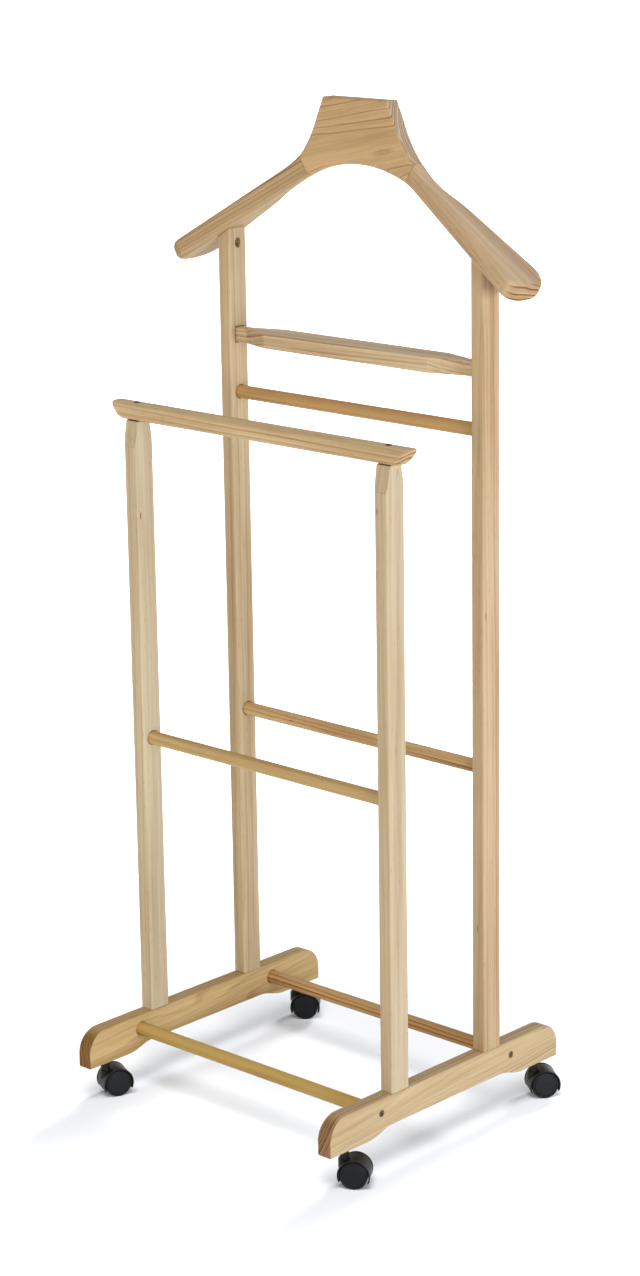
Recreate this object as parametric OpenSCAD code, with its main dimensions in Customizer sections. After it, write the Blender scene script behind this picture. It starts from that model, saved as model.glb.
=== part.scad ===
// Rolling clothes valet stand in pine: a tall rear frame with a suit hanger on top,
// a short front frame, and two feet on swivelling twin-wheel casters.
// Axes: +X to the right along the rails, +Y to the rear, +Z up from the floor.

/* [Overall] */
// Width over the outer faces of the two feet
frame_w = 380; // [330:1:440]
// Distance between the centres of the front and the rear posts
post_pitch = 150; // [130:1:190]
// Height of the top of the hanger above the floor
hanger_top = 1095; // [1040:1:1200]

/* [Feet] */
// Thickness of a foot board
foot_t = 18; // [16:0.5:24]
// Length of a foot from front to rear
foot_l = 372; // [350:1:420]
// Height of a foot over its end pads
foot_h = 41.5; // [38:0.5:50]
// Radius of the upper end corners
foot_end_r = 26; // [10:1:32]
// Height of the shallow arch under a foot
arch_h = 7.5; // [2:0.5:10]
// Length of each flat end pad
pad_l = 61; // [45:1:70]
// Length of the slope from a pad up to the arch
arch_slope_l = 37; // [15:1:45]

/* [Posts] */
// Width of a post across the stand
post_w = 18; // [16:0.5:24]
// Depth of a post from front to rear
post_d = 27; // [22:0.5:34]
// Rounding of the long edges of a post
post_edge_r = 3; // [1:0.25:5]
// Height of the top of the front posts above the floor
front_post_top = 755.5; // [700:0.5:790]
// Length of the bevels at the top of a front post
bevel_l = 28; // [10:1:60]
// How far each bevel cuts in at the top of a front post
bevel_in = 5; // [1:0.5:6]

/* [Rails] */
// Height of the section of the front rail
front_rail_h = 19; // [16:0.5:30]
// Depth of the section of the front rail
front_rail_d = 23; // [20:0.5:34]
// Rounding of the section of the front rail
front_rail_r = 7.5; // [3:0.5:7.5]
// Overhang of the front rail past the outer face of a foot
front_rail_over = 24; // [15:1:60]
// Undercut of the ends of the front rail
front_rail_cut = 16; // [5:1:20]
// Height from the top of the rear rail up to the top of the hanger
rear_rail_drop = 257.5; // [220:0.5:290]
// Thickness of the rear rail board
rear_rail_t = 16.6; // [12:0.1:24]
// Depth of the rear rail board
rear_rail_d = 36; // [30:1:50]
// Length of the taper at each end of the rear rail
rear_rail_taper = 38; // [20:1:60]
// Width of the tenon at each end of the rear rail
tenon_w = 12; // [8:0.5:16]
// Free length of the tenon between the taper and the post
tenon_neck = 16; // [5:1:30]
// Step above and below the part of the tenon that sits in the post
tenon_step = 0.4; // [0.2:0.1:1]

/* [Dowels] */
// Diameter of the cross dowels
dowel_d = 15; // [10:0.5:18]
// Height from the rear upper dowel up to the top of the rear rail
upper_dowel_drop = 72.5; // [50:0.5:120]
// Height of the two middle dowels above the floor
mid_dowel_z = 400; // [250:1:550]
// Height of the two bottom dowels above the floor
low_dowel_z = 66; // [60:0.5:72]
// Distance between the centres of the two bottom dowels
low_dowel_pitch = 212; // [200:1:240]
// Depth of the blind holes and mortises that hold the dowels and the rear rail
seat_depth = 9; // [5:0.5:12]

/* [Hanger] */
// Width of the top edge of the centre block
block_top_w = 91; // [70:1:110]
// Thickness of the centre block from front to rear
block_t = 17; // [15:0.5:24]
// Distance of the block's front face behind the centre of the rear posts
block_front = 3.4; // [0:0.1:12]
// Slope of the arms below level
arm_angle = 31.9; // [28:0.1:35]
// Thickness of an arm
arm_t = 21; // [17:0.5:26]
// Height from the line where the arms' upper faces would meet to the top of the block
ridge_drop = 15.8; // [12:0.1:20]
// Lean of the block's sides below the top corners, from upright
side_lean = 24.5; // [18:0.5:30]
// Radius of the hollow where the block's sides run into the arms
side_r = 120; // [70:1:130]
// Radius of the arch under the block
arch_r = 161; // [100:1:200]
// Distance of the glued joint from the centre, along the stand's width
joint_x = 74.5; // [65:0.5:85]
// Length of an arm along its slope
arm_l = 202; // [180:1:240]
// Depth of an arm near its tip, from front edge to rear edge
arm_tip_d = 55.4; // [50:0.2:70]
// How far the rear edge of an arm moves back from joint to tip
arm_tip_back = 3.5; // [0:0.5:10]
// Radius of the front corner of an arm's tip, seen from above
tip_front_r = 18.5; // [10:0.5:20]
// Radius of the rear corner of an arm's tip, seen from above
tip_rear_r = 29; // [15:0.5:30]
// Depth of the hollow in the rear edge of an arm, next to the joint
waist = 4; // [0:0.5:5]
// Length of that hollow along the arm
waist_l = 75; // [50:1:100]
// Rounding of the long edges of the arms
arm_edge_r = 6; // [2:0.5:7.5]
// Rounding of the top edge of the block
block_edge_r = 1.5; // [0.5:0.25:3]

/* [Casters] */
// Height of the feet above the floor
caster_h = 40.5; // [38:0.5:44]
// Distance of the swivel axis from the end of a foot
caster_inset = 31; // [28:0.5:36]
// Distance of the axle behind the swivel axis
trail = 11.2; // [9:0.1:12.5]
// Diameter of a wheel
wheel_d = 30; // [26:0.5:31]
// Width of one wheel
wheel_w = 11.2; // [8:0.1:14]
// Width of a chamfer on the tread
wheel_chamfer = 0.9; // [0.3:0.1:1.5]
// Radius left flat outside the shallow dish in a wheel's outer face
wheel_rim = 2.2; // [1:0.1:4]
// Depth of the dish in a wheel's outer face
wheel_dish = 0.6; // [0.2:0.1:1.5]
// Thickness of the web between the wheels
web_t = 3.6; // [2.5:0.1:5]
// Radius of the web's hub around the axle
web_hub_r = 6; // [4.5:0.5:8]
// Thickness of the hood over the wheels
hood_t = 1.5; // [1:0.1:2.4]
// Angle that the tips of the hood reach below the axle's level
hood_tip_angle = 25; // [0:1:30]
// Angle that the web between the wheels reaches below the axle's level
web_tip_angle = 9; // [0:1:20]
// Diameter of the boss around the stem
boss_d = 10; // [9:0.5:18]
// Diameter of the axle
axle_d = 4; // [3:0.1:5]
// Diameter of the stem
stem_d = 6; // [4:0.5:8]
// Length of the stem inside the foot
stem_l = 24; // [18:0.5:30]
// Height of the bottom end of the stem above the floor
stem_bottom = 30; // [29:0.1:32]
// Wall of the sleeve around the stem
sleeve_wall = 1.5; // [1:0.1:2.5]
// Diameter of the sleeve's flange under the foot
flange_d = 10.5; // [10:0.5:17]
// Thickness of the sleeve's flange
flange_t = 1.2; // [0.8:0.1:1.6]
// Direction that the front left caster's near wheel faces, turned from the front towards the right
turn_front_left = 66; // [0:1:359]
// Direction that the front right caster's near wheel faces
turn_front_right = 34; // [0:1:359]
// Direction that the rear left caster's near wheel faces
turn_rear_left = 41; // [0:1:359]
// Direction that the rear right caster's near wheel faces
turn_rear_right = 54; // [0:1:359]

/* [Fasteners] */
// Diameter of the screws
screw_d = 4; // [3:0.25:5]
// Diameter of the screw heads
screw_head_d = 7.6; // [7:0.1:9]
// Length of the screws through the feet into the bottom dowels
foot_screw_l = 40; // [30:1:60]
// Length of the screws up through the feet into the posts
post_screw_l = 70; // [55:1:90]
// Length of the screws down through the front rail
rail_screw_l = 40; // [25:1:60]
// Depth of the counterbores in the top of the front rail
rail_bore_depth = 6; // [4:0.5:9]
// Length of the slanted screws into the hanger arms
arm_screw_l = 23; // [19:0.5:25]
// Angle of the slanted pockets in the rear posts, from upright
pocket_angle = 48; // [40:1:55]
// How far the mouth of a pocket is below the arm
pocket_drop = 17.5; // [16:0.5:20]
// Depth of the slanted pockets, along their axis
pocket_depth = 7; // [6:0.25:8]
// Diameter of the pins inside the glued hanger joints
pin_d = 8; // [5:0.5:9]
// Length of the pins inside the glued hanger joints
pin_l = 34; // [20:1:50]

/* [Fits] */
// Radial gap between a turning wheel or stem and what it turns on
run_gap = 0.05; // [0.02:0.01:0.1]
// Radial gap around glued dowels, pins, sleeves and screws
glue_gap = 0.1; // [0.05:0.01:0.2]
// Gap left at the bottom of blind holes and mortises
end_gap = 0.5; // [0.2:0.1:1]
// Gap between the wheels and the hood's web
side_gap = 0.3; // [0.2:0.05:0.5]
// Gap between the tread and the inside of the hood
tread_gap = 1; // [0.3:0.1:1.5]
// Gap between the boss and the sleeve's flange
swivel_gap = 0.5; // [0.3:0.1:1]

/* [Hidden] */

PINE = [0.84, 0.73, 0.56];
DOWEL = [0.74, 0.60, 0.38];
BLACK = [0.06, 0.06, 0.065];
STEEL = [0.62, 0.62, 0.64];

$fn = 64;
OVER = 1;          // extra length of a cutting tool past the face that it cuts
TURN = 360;        // degrees in a full turn
HALF_TURN = 180;
LEFT = -1;
RIGHT = 1;
FRONT = -1;
REAR = 1;

// places that follow from the sizes above
side_x = (frame_w - foot_t) / 2;            // centre of a foot and of its posts
inner_x = side_x - post_w / 2;              // inner face of a post
foot_inner_x = side_x - foot_t / 2;         // inner face of a foot
outer_x = frame_w / 2;                      // outer face of a foot
foot_top = caster_h + foot_h;
front_y = -post_pitch / 2;
rear_y = post_pitch / 2;
caster_y = foot_l / 2 - caster_inset;
rear_rail_top = hanger_top - rear_rail_drop;
tenon_t = rear_rail_t - 2 * tenon_step;     // thickness of the tenon inside a post
upper_dowel_z = rear_rail_top - upper_dowel_drop;
low_dowel_y = low_dowel_pitch / 2;

// ---------------------------------------------------------------- shared shapes

// rectangle with round corners, centred
module round_rect(w, h, r) {
  square([w - 2 * r, h], center = true);
  square([w, h - 2 * r], center = true);
  for (sx = [-1, 1], sy = [-1, 1])
    translate([sx * (w / 2 - r), sy * (h / 2 - r)]) circle(r = r);
}

// cylinder along X between two values of x
module bar_x(x0, x1, d) {
  translate([x0, 0, 0]) rotate([0, 90, 0]) cylinder(h = x1 - x0, d = d);
}

// countersunk screw: its head's face is at z = 0 and it points down
screw_head_h = (screw_head_d - screw_d) / 2;
screw_tip_l = 4;
screw_point_d = 1;
recess_l = 4.6;
recess_w = 0.9;
recess_depth = 1.3;
recess_turn = 20;
module screw(l) {
  difference() {
    union() {
      translate([0, 0, -screw_head_h])
        cylinder(h = screw_head_h, d1 = screw_d, d2 = screw_head_d);
      translate([0, 0, screw_tip_l - l])
        cylinder(h = l - screw_tip_l - screw_head_h, d = screw_d);
      translate([0, 0, -l])
        cylinder(h = screw_tip_l, d1 = screw_point_d, d2 = screw_d);
    }
    for (a = [0, 90])
      rotate(a) translate([-recess_l / 2, -recess_w / 2, -recess_depth])
        cube([recess_l, recess_w, recess_depth + OVER]);
  }
}

// the room that a countersunk screw takes, with open space above its head
module screw_hole(l, above = OVER) {
  d = screw_d + 2 * glue_gap;
  head_d = screw_head_d + 2 * glue_gap;
  head_h = (head_d - d) / 2;
  translate([0, 0, -l - end_gap]) cylinder(h = l + end_gap, d = d);
  translate([0, 0, -head_h]) cylinder(h = head_h, d1 = d, d2 = head_d);
  cylinder(h = above, d = head_d);
}

// ---------------------------------------------------------------- where screws sit

// slanted screws from a pocket in the inner face of a rear post into a hanger arm
module at_arm_screw(side) {
  translate([side * inner_x, rear_y, arm_under(inner_x) - pocket_drop])
    rotate([0, side * pocket_angle, 0])
      translate([0, 0, pocket_depth]) mirror([0, 0, 1]) children();
}

module at_rail_screw(side) {
  translate([side * side_x, front_y, front_post_top + front_rail_h - rail_bore_depth])
    children();
}

module at_side_screw(side, end) {
  translate([side * outer_x, end * low_dowel_y, low_dowel_z])
    rotate([0, side * 90, 0]) rotate(recess_turn * end) children();
}

module at_base_screw(side, end) {
  translate([side * side_x, end * rear_y, caster_h + arch_h])
    rotate([180, 0, 0]) children();
}

// ---------------------------------------------------------------- feet

// underside of a foot at a distance y from its middle
arch_flat_y = foot_l / 2 - pad_l - arch_slope_l;
arch_steps = 8;
function arch_z(y) =
  y <= arch_flat_y ? arch_h
  : y >= arch_flat_y + arch_slope_l ? 0
  : arch_h * (1 + cos(HALF_TURN * (y - arch_flat_y) / arch_slope_l)) / 2;
slope_ys = [for (i = [0 : arch_steps]) arch_flat_y + arch_slope_l * i / arch_steps];

module foot_profile() {
  half = foot_l / 2;
  difference() {
    polygon(concat(
      [for (y = slope_ys) [y, arch_z(y)]],
      [[half, 0], [half, foot_h], [-half, foot_h], [-half, 0]],
      [for (i = [arch_steps : -1 : 0]) [-slope_ys[i], arch_z(slope_ys[i])]]
    ));
    for (s = [-1, 1])
      translate([s * (half - foot_end_r), foot_h - foot_end_r])
        difference() {
          translate([s > 0 ? 0 : -foot_end_r - OVER, 0])
            square([foot_end_r + OVER, foot_end_r + OVER]);
          circle(r = foot_end_r, $fn = 96);
        }
  }
}

module foot(side) {
  color(PINE) difference() {
    translate([side * side_x - foot_t / 2, 0, caster_h])
      rotate([90, 0, 90]) linear_extrude(foot_t) foot_profile();
    for (end = [FRONT, REAR]) {
      translate([side * side_x, end * caster_y, caster_h]) sleeve_room();
      translate([0, end * low_dowel_y, low_dowel_z])
        bar_x(min(side * foot_inner_x - OVER, side * (foot_inner_x + seat_depth)),
              max(side * foot_inner_x + OVER, side * (foot_inner_x + seat_depth)),
              dowel_d + 2 * glue_gap);
      at_side_screw(side, end) screw_hole(foot_screw_l);
      at_base_screw(side, end) screw_hole(post_screw_l, above = arch_h + OVER);
    }
  }
}

module left_foot() { foot(LEFT); }
module right_foot() { foot(RIGHT); }

// ---------------------------------------------------------------- posts

module post_blank(side, y, h) {
  translate([side * side_x, y, foot_top])
    linear_extrude(h) round_rect(post_w, post_d, post_edge_r);
}

// blind hole for a dowel in the inner face of a post
module dowel_seat(side, y, z) {
  translate([0, y, z])
    bar_x(min(side * (inner_x - OVER), side * (inner_x + seat_depth)),
          max(side * (inner_x - OVER), side * (inner_x + seat_depth)),
          dowel_d + 2 * glue_gap);
}

module front_post(side) {
  bevel_angle = atan(bevel_in / bevel_l);
  color(PINE) difference() {
    post_blank(side, front_y, front_post_top - foot_top);
    for (s = [-1, 1])
      translate([side * side_x, front_y + s * post_d / 2, front_post_top - bevel_l])
        rotate([s * bevel_angle, 0, 0])
          translate([-post_w, s > 0 ? 0 : -post_d, 0])
            cube([2 * post_w, post_d, 2 * bevel_l]);
    dowel_seat(side, front_y, mid_dowel_z);
    at_rail_screw(side) screw_hole(rail_screw_l);
    at_base_screw(side, FRONT) screw_hole(post_screw_l);
  }
}

module rear_post(side) {
  top = arm_under(inner_x);
  color(PINE) difference() {
    post_blank(side, rear_y, top - foot_top);
    translate([side * side_x, rear_y, arm_under(side_x)])
      rotate([0, side * arm_angle, 0])
        translate([-2 * post_w, -post_d, 0]) cube([4 * post_w, 2 * post_d, 2 * post_d]);
    dowel_seat(side, rear_y, upper_dowel_z);
    dowel_seat(side, rear_y, mid_dowel_z);
    rail_mortise(side);
    at_arm_screw(side) arm_screw_hole();
    at_base_screw(side, REAR) screw_hole(post_screw_l);
  }
}

module rail_mortise(side) {
  w = tenon_w + 2 * glue_gap;
  h = tenon_t + 2 * glue_gap;
  x0 = min(side * (inner_x - OVER), side * (inner_x + seat_depth));
  translate([x0, rear_y - w / 2, rear_rail_top - tenon_step - tenon_t - glue_gap])
    cube([seat_depth + OVER, w, h]);
}

module left_front_post() { front_post(LEFT); }
module right_front_post() { front_post(RIGHT); }
module left_rear_post() { rear_post(LEFT); }
module right_rear_post() { rear_post(RIGHT); }

// ---------------------------------------------------------------- rails

module front_top_rail() {
  half = outer_x + front_rail_over;
  color(DOWEL) difference() {
    translate([-half, front_y, front_post_top + front_rail_h / 2])
      rotate([90, 0, 90]) linear_extrude(2 * half)
        round_rect(front_rail_d, front_rail_h, front_rail_r);
    for (side = [LEFT, RIGHT]) {
      translate([side * half, front_y, front_post_top + front_rail_h])
        rotate([0, side * atan(front_rail_cut / front_rail_h), 0])
          translate([side > 0 ? 0 : -front_rail_h, -front_rail_d, -3 * front_rail_h])
            cube([front_rail_h, 2 * front_rail_d, 4 * front_rail_h]);
      at_rail_screw(side) screw_hole(rail_screw_l, above = rail_bore_depth + OVER);
    }
  }
}

module rear_top_rail() {
  wide = rear_rail_d / 2;
  narrow = tenon_w / 2;
  x_end = inner_x + seat_depth - end_gap;
  x_step = inner_x - tenon_step;
  x_neck = inner_x - tenon_neck;
  x_wide = x_neck - rear_rail_taper;
  right = [[x_wide, wide], [x_neck, narrow], [x_step, narrow],
           [x_step, -narrow], [x_neck, -narrow], [x_wide, -wide]];
  left = [for (p = right) [-p[0], -p[1]]];
  color(PINE) translate([0, rear_y, rear_rail_top - rear_rail_t]) {
    linear_extrude(rear_rail_t) polygon(concat(right, left));
    translate([-x_end, -narrow, tenon_step]) cube([2 * x_end, tenon_w, tenon_t]);
  }
}

// ---------------------------------------------------------------- dowels

module post_dowel(y, z) {
  half = inner_x + seat_depth - end_gap;
  color(DOWEL) translate([0, y, z]) bar_x(-half, half, dowel_d);
}

module foot_dowel(end) {
  half = foot_inner_x + seat_depth - end_gap;
  color(DOWEL) difference() {
    translate([0, end * low_dowel_y, low_dowel_z]) bar_x(-half, half, dowel_d);
    for (side = [LEFT, RIGHT]) at_side_screw(side, end) screw_hole(foot_screw_l);
  }
}

module rear_upper_dowel() { post_dowel(rear_y, upper_dowel_z); }
module front_mid_dowel() { post_dowel(front_y, mid_dowel_z); }
module rear_mid_dowel() { post_dowel(rear_y, mid_dowel_z); }
module front_bottom_dowel() { foot_dowel(FRONT); }
module rear_bottom_dowel() { foot_dowel(REAR); }

// ---------------------------------------------------------------- hanger

// The hanger is drawn in the plane of its front view (x, z) and in a plane along each arm:
// s runs down the arm from the glued joint and n stands square to the arm's faces.
ca = cos(arm_angle);
sa = sin(arm_angle);
ta = tan(arm_angle);
ridge_z = hanger_top - ridge_drop;
function arm_over(x) = ridge_z - ta * x;                  // upper face of an arm
function arm_under(x) = arm_over(x) - arm_t / ca;         // underside of an arm
joint_z = (arm_over(joint_x) + arm_under(joint_x)) / 2;
function to_xz(s, n) = [joint_x + s * ca + n * sa, joint_z - s * sa + n * ca];
function to_s(x, z) = (x - joint_x) * ca - (z - joint_z) * sa;

// circle of the hollow side: touches the leaning side line and the arm's upper face
side_turn = 90 - arm_angle - side_lean;
meet_z = (hanger_top * tan(side_lean) + block_top_w / 2 - ridge_z / ta)
  / (tan(side_lean) - 1 / ta);
meet_x = block_top_w / 2 + (hanger_top - meet_z) * tan(side_lean);
side_run = side_r * tan(side_turn / 2);      // from where the two lines meet to a touching point
side_x0 = meet_x + side_run * ca + side_r * sa;
side_z0 = meet_z - side_run * sa + side_r * ca;
side_s0 = to_s(side_x0, side_z0);

// circle of the arch: touches both undersides
arch_z0 = arm_under(0) - arch_r / ca;
arch_s0 = to_s(0, arch_z0);

function over_n(s) =
  s >= side_s0 ? arm_t / 2
  : arm_t / 2 + side_r - sqrt(side_r * side_r - pow(s - side_s0, 2));
function under_n(s) =
  s >= arch_s0 ? -arm_t / 2
  : -arm_t / 2 - arch_r + sqrt(arch_r * arch_r - pow(s - arch_s0, 2));

block_y0 = rear_y + block_front;
block_y1 = block_y0 + block_t;
round_steps = 4;
edge_angles = [for (i = [0 : round_steps]) 90 * i / round_steps];

// triangles that join rings of n points, ring after ring
function ring_sides(rings, n) = [
  for (j = [0 : rings - 2], k = [0 : n - 1])
    let (a = j * n + k, b = j * n + (k + 1) % n)
      each [[a, b, b + n], [a, b + n, a + n]]
];

// ---- centre block

side_steps = 8;
over_count = 2 * (side_steps + 2);           // outline points from joint to joint over the block
under_steps = over_count - 1;                // as many points along the arch below
joint_over = to_xz(0, over_n(0));
joint_under = to_xz(0, under_n(0));
side_from = atan2(joint_over[1] - side_z0, joint_over[0] - side_x0) + TURN;
side_to = HALF_TURN + side_lean;
arch_from = atan2(joint_under[1] - arch_z0, joint_under[0]);

// each outline point: [x, z, way out in x, way out in z, edge rounding]
function side_edge_r(z) =
  block_edge_r + (arm_edge_r - block_edge_r)
    * pow((hanger_top - z) / (hanger_top - joint_over[1]), 2);
block_right = concat(
  [[joint_under[0], joint_under[1], -sa, -ca, arm_edge_r],
   [joint_over[0], joint_over[1], sa, ca, arm_edge_r]],
  [for (i = [1 : side_steps])
    let (a = side_from + (side_to - side_from) * i / side_steps,
         z = side_z0 + side_r * sin(a))
      [side_x0 + side_r * cos(a), z, -cos(a), -sin(a), side_edge_r(z)]],
  [[block_top_w / 2, hanger_top, 1, 1, block_edge_r]]
);
block_left = [for (i = [len(block_right) - 1 : -1 : 0])
  let (p = block_right[i]) [-p[0], p[1], -p[2], p[3], p[4]]];
block_under = [for (i = [1 : under_steps - 1])
  let (a = HALF_TURN - arch_from + (2 * arch_from - HALF_TURN) * i / under_steps)
    [arch_r * cos(a), arch_z0 + arch_r * sin(a), -cos(a), -sin(a), arm_edge_r]];
block_line = concat(block_right, block_left, block_under);

function block_ring(a, y_face, way) = [
  for (p = block_line)
    let (inset = p[4] * (1 - sin(a)))
      [p[0] - p[2] * inset, y_face + way * p[4] * (1 - cos(a)), p[1] - p[3] * inset]
];

module block_solid() {
  n = len(block_line);
  rings = concat(
    [for (a = edge_angles) block_ring(a, block_y0, 1)],
    [for (i = [round_steps : -1 : 0]) block_ring(edge_angles[i], block_y1, -1)]
  );
  count = len(rings);
  last = (count - 1) * n;
  front = [for (k = [0 : over_count - 2])
    let (low = (n - k) % n, up = k + 1)
      each [[n - k - 1, up + 1, up], [low, n - k - 1, up]]];
  back = [for (f = front) [last + f[2], last + f[1], last + f[0]]];
  polyhedron([for (r = rings) each r], concat(front, ring_sides(count, n), back));
}

// pin room or pin across the glued joint of one arm
module joint_pin(side, gap) {
  translate([side * joint_x, (block_y0 + block_y1) / 2, joint_z])
    rotate([0, side * (90 + arm_angle), 0])
      cylinder(h = pin_l + 2 * gap, d = pin_d + 2 * gap, center = true);
}

module hanger_block() {
  color(PINE) difference() {
    block_solid();
    for (side = [LEFT, RIGHT]) joint_pin(side, glue_gap);
  }
}

// ---- arms

root_steps = 12;
tip_steps = 8;
root_l = max(side_s0, arch_s0, waist_l);
front_tip_y = block_y1 + arm_tip_back - arm_tip_d;
rear_tip_y = block_y1 + arm_tip_back;
function front_edge(s) = block_y0 + (front_tip_y - block_y0) * s / (arm_l - tip_front_r);
function hollow(s) = s < waist_l ? waist * (1 - cos(TURN * s / waist_l)) / 2 : 0;
function rear_edge(s) = block_y1 + arm_tip_back * s / (arm_l - tip_rear_r) - hollow(s);

// a corner of the tip at an angle from the long edge: how far along, how far in
function tip_s(r, a) = arm_l - r + r * sin(a);
function tip_in(r, a) = r * (1 - cos(a));

// points of the plan from the joint to the middle of the tip, front and rear edge side by side:
// [front s, front y, rear s, rear y, way out along s, way out across]
arm_plan = concat(
  [for (i = [0 : root_steps])
    let (s = root_l * i / root_steps) [s, front_edge(s), s, rear_edge(s), 0, 1]],
  [for (i = [0 : tip_steps])
    let (a = 90 * i / tip_steps)
      [tip_s(tip_front_r, a), front_tip_y + tip_in(tip_front_r, a),
       tip_s(tip_rear_r, a), rear_tip_y - tip_in(tip_rear_r, a), sin(a), cos(a)]]
);

// one ring of the arm at a rounding angle; way is +1 on the upper face, -1 on the underside
function arm_ring(side, a, way) =
  let (inset = arm_edge_r * (1 - sin(a)), lift = arm_edge_r * (1 - cos(a)), m = len(arm_plan))
    [for (i = [0 : 2 * m - 1])
      let (front = i < m,
           p = arm_plan[front ? i : 2 * m - 1 - i],
           s = front ? p[0] : p[2],
           y = front ? p[1] + p[5] * inset : p[3] - p[5] * inset,
           n = way > 0 ? over_n(s) - lift : under_n(s) + lift,
           q = to_xz(s - p[4] * inset, n))
        [side * q[0], y, q[1]]];

module arm_solid(side) {
  m = len(arm_plan);
  n = 2 * m;
  rings = concat(
    [for (a = edge_angles) arm_ring(side, a, -1)],
    [for (i = [round_steps : -1 : 0]) arm_ring(side, edge_angles[i], 1)]
  );
  count = len(rings);
  last = (count - 1) * n;
  under = [for (k = [0 : m - 2]) each
    [[k, n - 1 - k, n - 2 - k], [k, n - 2 - k, k + 1]]];
  over = [for (k = [0 : m - 2]) each
    [[last + k, last + n - 2 - k, last + n - 1 - k], [last + k, last + k + 1, last + n - 2 - k]]];
  faces = concat(under, ring_sides(count, n), over);
  polyhedron([for (r = rings) each r],
             side > 0 ? [for (f = faces) [f[2], f[1], f[0]]] : faces);
}

module arm_screw_hole() {
  screw_hole(arm_screw_l, above = pocket_depth + post_w);
}

module hanger_arm(side) {
  color(PINE) difference() {
    arm_solid(side);
    joint_pin(side, glue_gap);
    at_arm_screw(side) arm_screw_hole();
  }
}

module left_hanger_arm() { hanger_arm(LEFT); }
module right_hanger_arm() { hanger_arm(RIGHT); }
module hanger_joint_pins() {
  color(DOWEL) for (side = [LEFT, RIGHT]) joint_pin(side, 0);
}

// ---------------------------------------------------------------- screws

module hanger_screws() {
  color(BLACK) for (side = [LEFT, RIGHT])
    at_arm_screw(side) screw(arm_screw_l);
}

module front_rail_screws() {
  color(BLACK) for (side = [LEFT, RIGHT]) at_rail_screw(side) screw(rail_screw_l);
}

module foot_side_screws() {
  color(BLACK) for (side = [LEFT, RIGHT], end = [FRONT, REAR])
    at_side_screw(side, end) screw(foot_screw_l);
}

module post_base_screws() {
  color(BLACK) for (side = [LEFT, RIGHT], end = [FRONT, REAR])
    at_base_screw(side, end) screw(post_screw_l);
}

// ---------------------------------------------------------------- casters

// A caster is drawn around its swivel axis, with its axle along Y and its near wheel at -Y.
wheel_r = wheel_d / 2;
hood_in_r = wheel_r + tread_gap;
hood_out_r = hood_in_r + hood_t;
wheel_in = web_t / 2 + side_gap;             // inner face of a wheel
wheel_out = wheel_in + wheel_w;              // outer face of a wheel
sleeve_r = stem_d / 2 + run_gap + sleeve_wall;
stem_top = caster_h + stem_l;
boss_top = caster_h - flange_t - swivel_gap;

module at_caster(side, end, turn) {
  translate([side * side_x, end * caster_y, 0]) rotate(turn) children();
}

module sleeve_room() {
  cylinder(h = 2 * (stem_l + end_gap), r = sleeve_r + glue_gap, center = true);
}

module sleeve() {
  difference() {
    union() {
      translate([0, 0, caster_h]) cylinder(h = stem_l, r = sleeve_r);
      translate([0, 0, caster_h - flange_t]) cylinder(h = flange_t, d = flange_d);
    }
    translate([0, 0, caster_h - flange_t - OVER])
      cylinder(h = stem_l + flange_t + 2 * OVER, r = stem_d / 2 + run_gap);
  }
}

module caster_sleeves() {
  color(BLACK) for (side = [LEFT, RIGHT], end = [FRONT, REAR])
    at_caster(side, end, 0) sleeve();
}

module along_axle(y0, y1, r) {
  translate([trail, y0, wheel_r]) rotate([-90, 0, 0]) cylinder(h = y1 - y0, r = r);
}

// everything above two lines that fall away from the axle, each at an angle below level
module above(angle) {
  reach = 3 * hood_out_r;
  translate([trail, wheel_out + OVER, wheel_r]) rotate([90, 0, 0])
    linear_extrude(2 * (wheel_out + OVER))
      polygon([[0, 0], [reach * cos(angle), -reach * sin(angle)], [reach, reach],
               [-reach, reach], [-reach * cos(angle), -reach * sin(angle)]]);
}

module hood() {
  difference() {
    union() {
      intersection() {
        along_axle(-wheel_out, wheel_out, hood_out_r);
        above(hood_tip_angle);
      }
      translate([0, 0, wheel_r]) cylinder(h = boss_top - wheel_r, d = boss_d);
    }
    along_axle(-wheel_out - OVER, wheel_out + OVER, hood_in_r);
    translate([0, 0, stem_bottom - end_gap])
      cylinder(h = boss_top, r = stem_d / 2 + glue_gap);
  }
  difference() {
    union() {
      intersection() {
        along_axle(-web_t / 2, web_t / 2, hood_in_r + hood_t / 2);
        above(web_tip_angle);
      }
      along_axle(-web_t / 2, web_t / 2, web_hub_r);
    }
    along_axle(-wheel_out, wheel_out, axle_d / 2 + glue_gap);
    translate([0, 0, stem_bottom - end_gap])
      cylinder(h = boss_top, r = stem_d / 2 + glue_gap);
  }
}

module caster_hood(side, end, turn) { color(BLACK) at_caster(side, end, turn) hood(); }

module caster_stem(side, end, turn) {
  color(STEEL) at_caster(side, end, turn)
    translate([0, 0, stem_bottom]) cylinder(h = stem_top - stem_bottom, d = stem_d);
}

// the axle stays inside the wheels' outer faces
axle_cover = 2;
axle_half = wheel_out - axle_cover;
module caster_axle(side, end, turn) {
  color(STEEL) at_caster(side, end, turn) along_axle(-axle_half, axle_half, axle_d / 2);
}

// way is -1 for the near wheel and +1 for the far one
module wheel(way) {
  bore_r = axle_d / 2 + run_gap;
  bore_l = axle_half + end_gap - wheel_in;
  dish_r = wheel_r - wheel_rim;
  translate([trail, way * wheel_in, wheel_r]) rotate([-way * 90, 0, 0])
    rotate_extrude($fn = 96) polygon([
      [bore_r, 0],
      [wheel_r - wheel_chamfer, 0],
      [wheel_r, wheel_chamfer],
      [wheel_r, wheel_w - wheel_chamfer],
      [wheel_r - wheel_chamfer, wheel_w],
      [dish_r, wheel_w],
      [dish_r - wheel_dish, wheel_w - wheel_dish],
      [0, wheel_w - wheel_dish],
      [0, bore_l],
      [bore_r, bore_l]
    ]);
}

module caster_wheel(side, end, turn, way) {
  color(BLACK) at_caster(side, end, turn) wheel(way);
}

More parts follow.
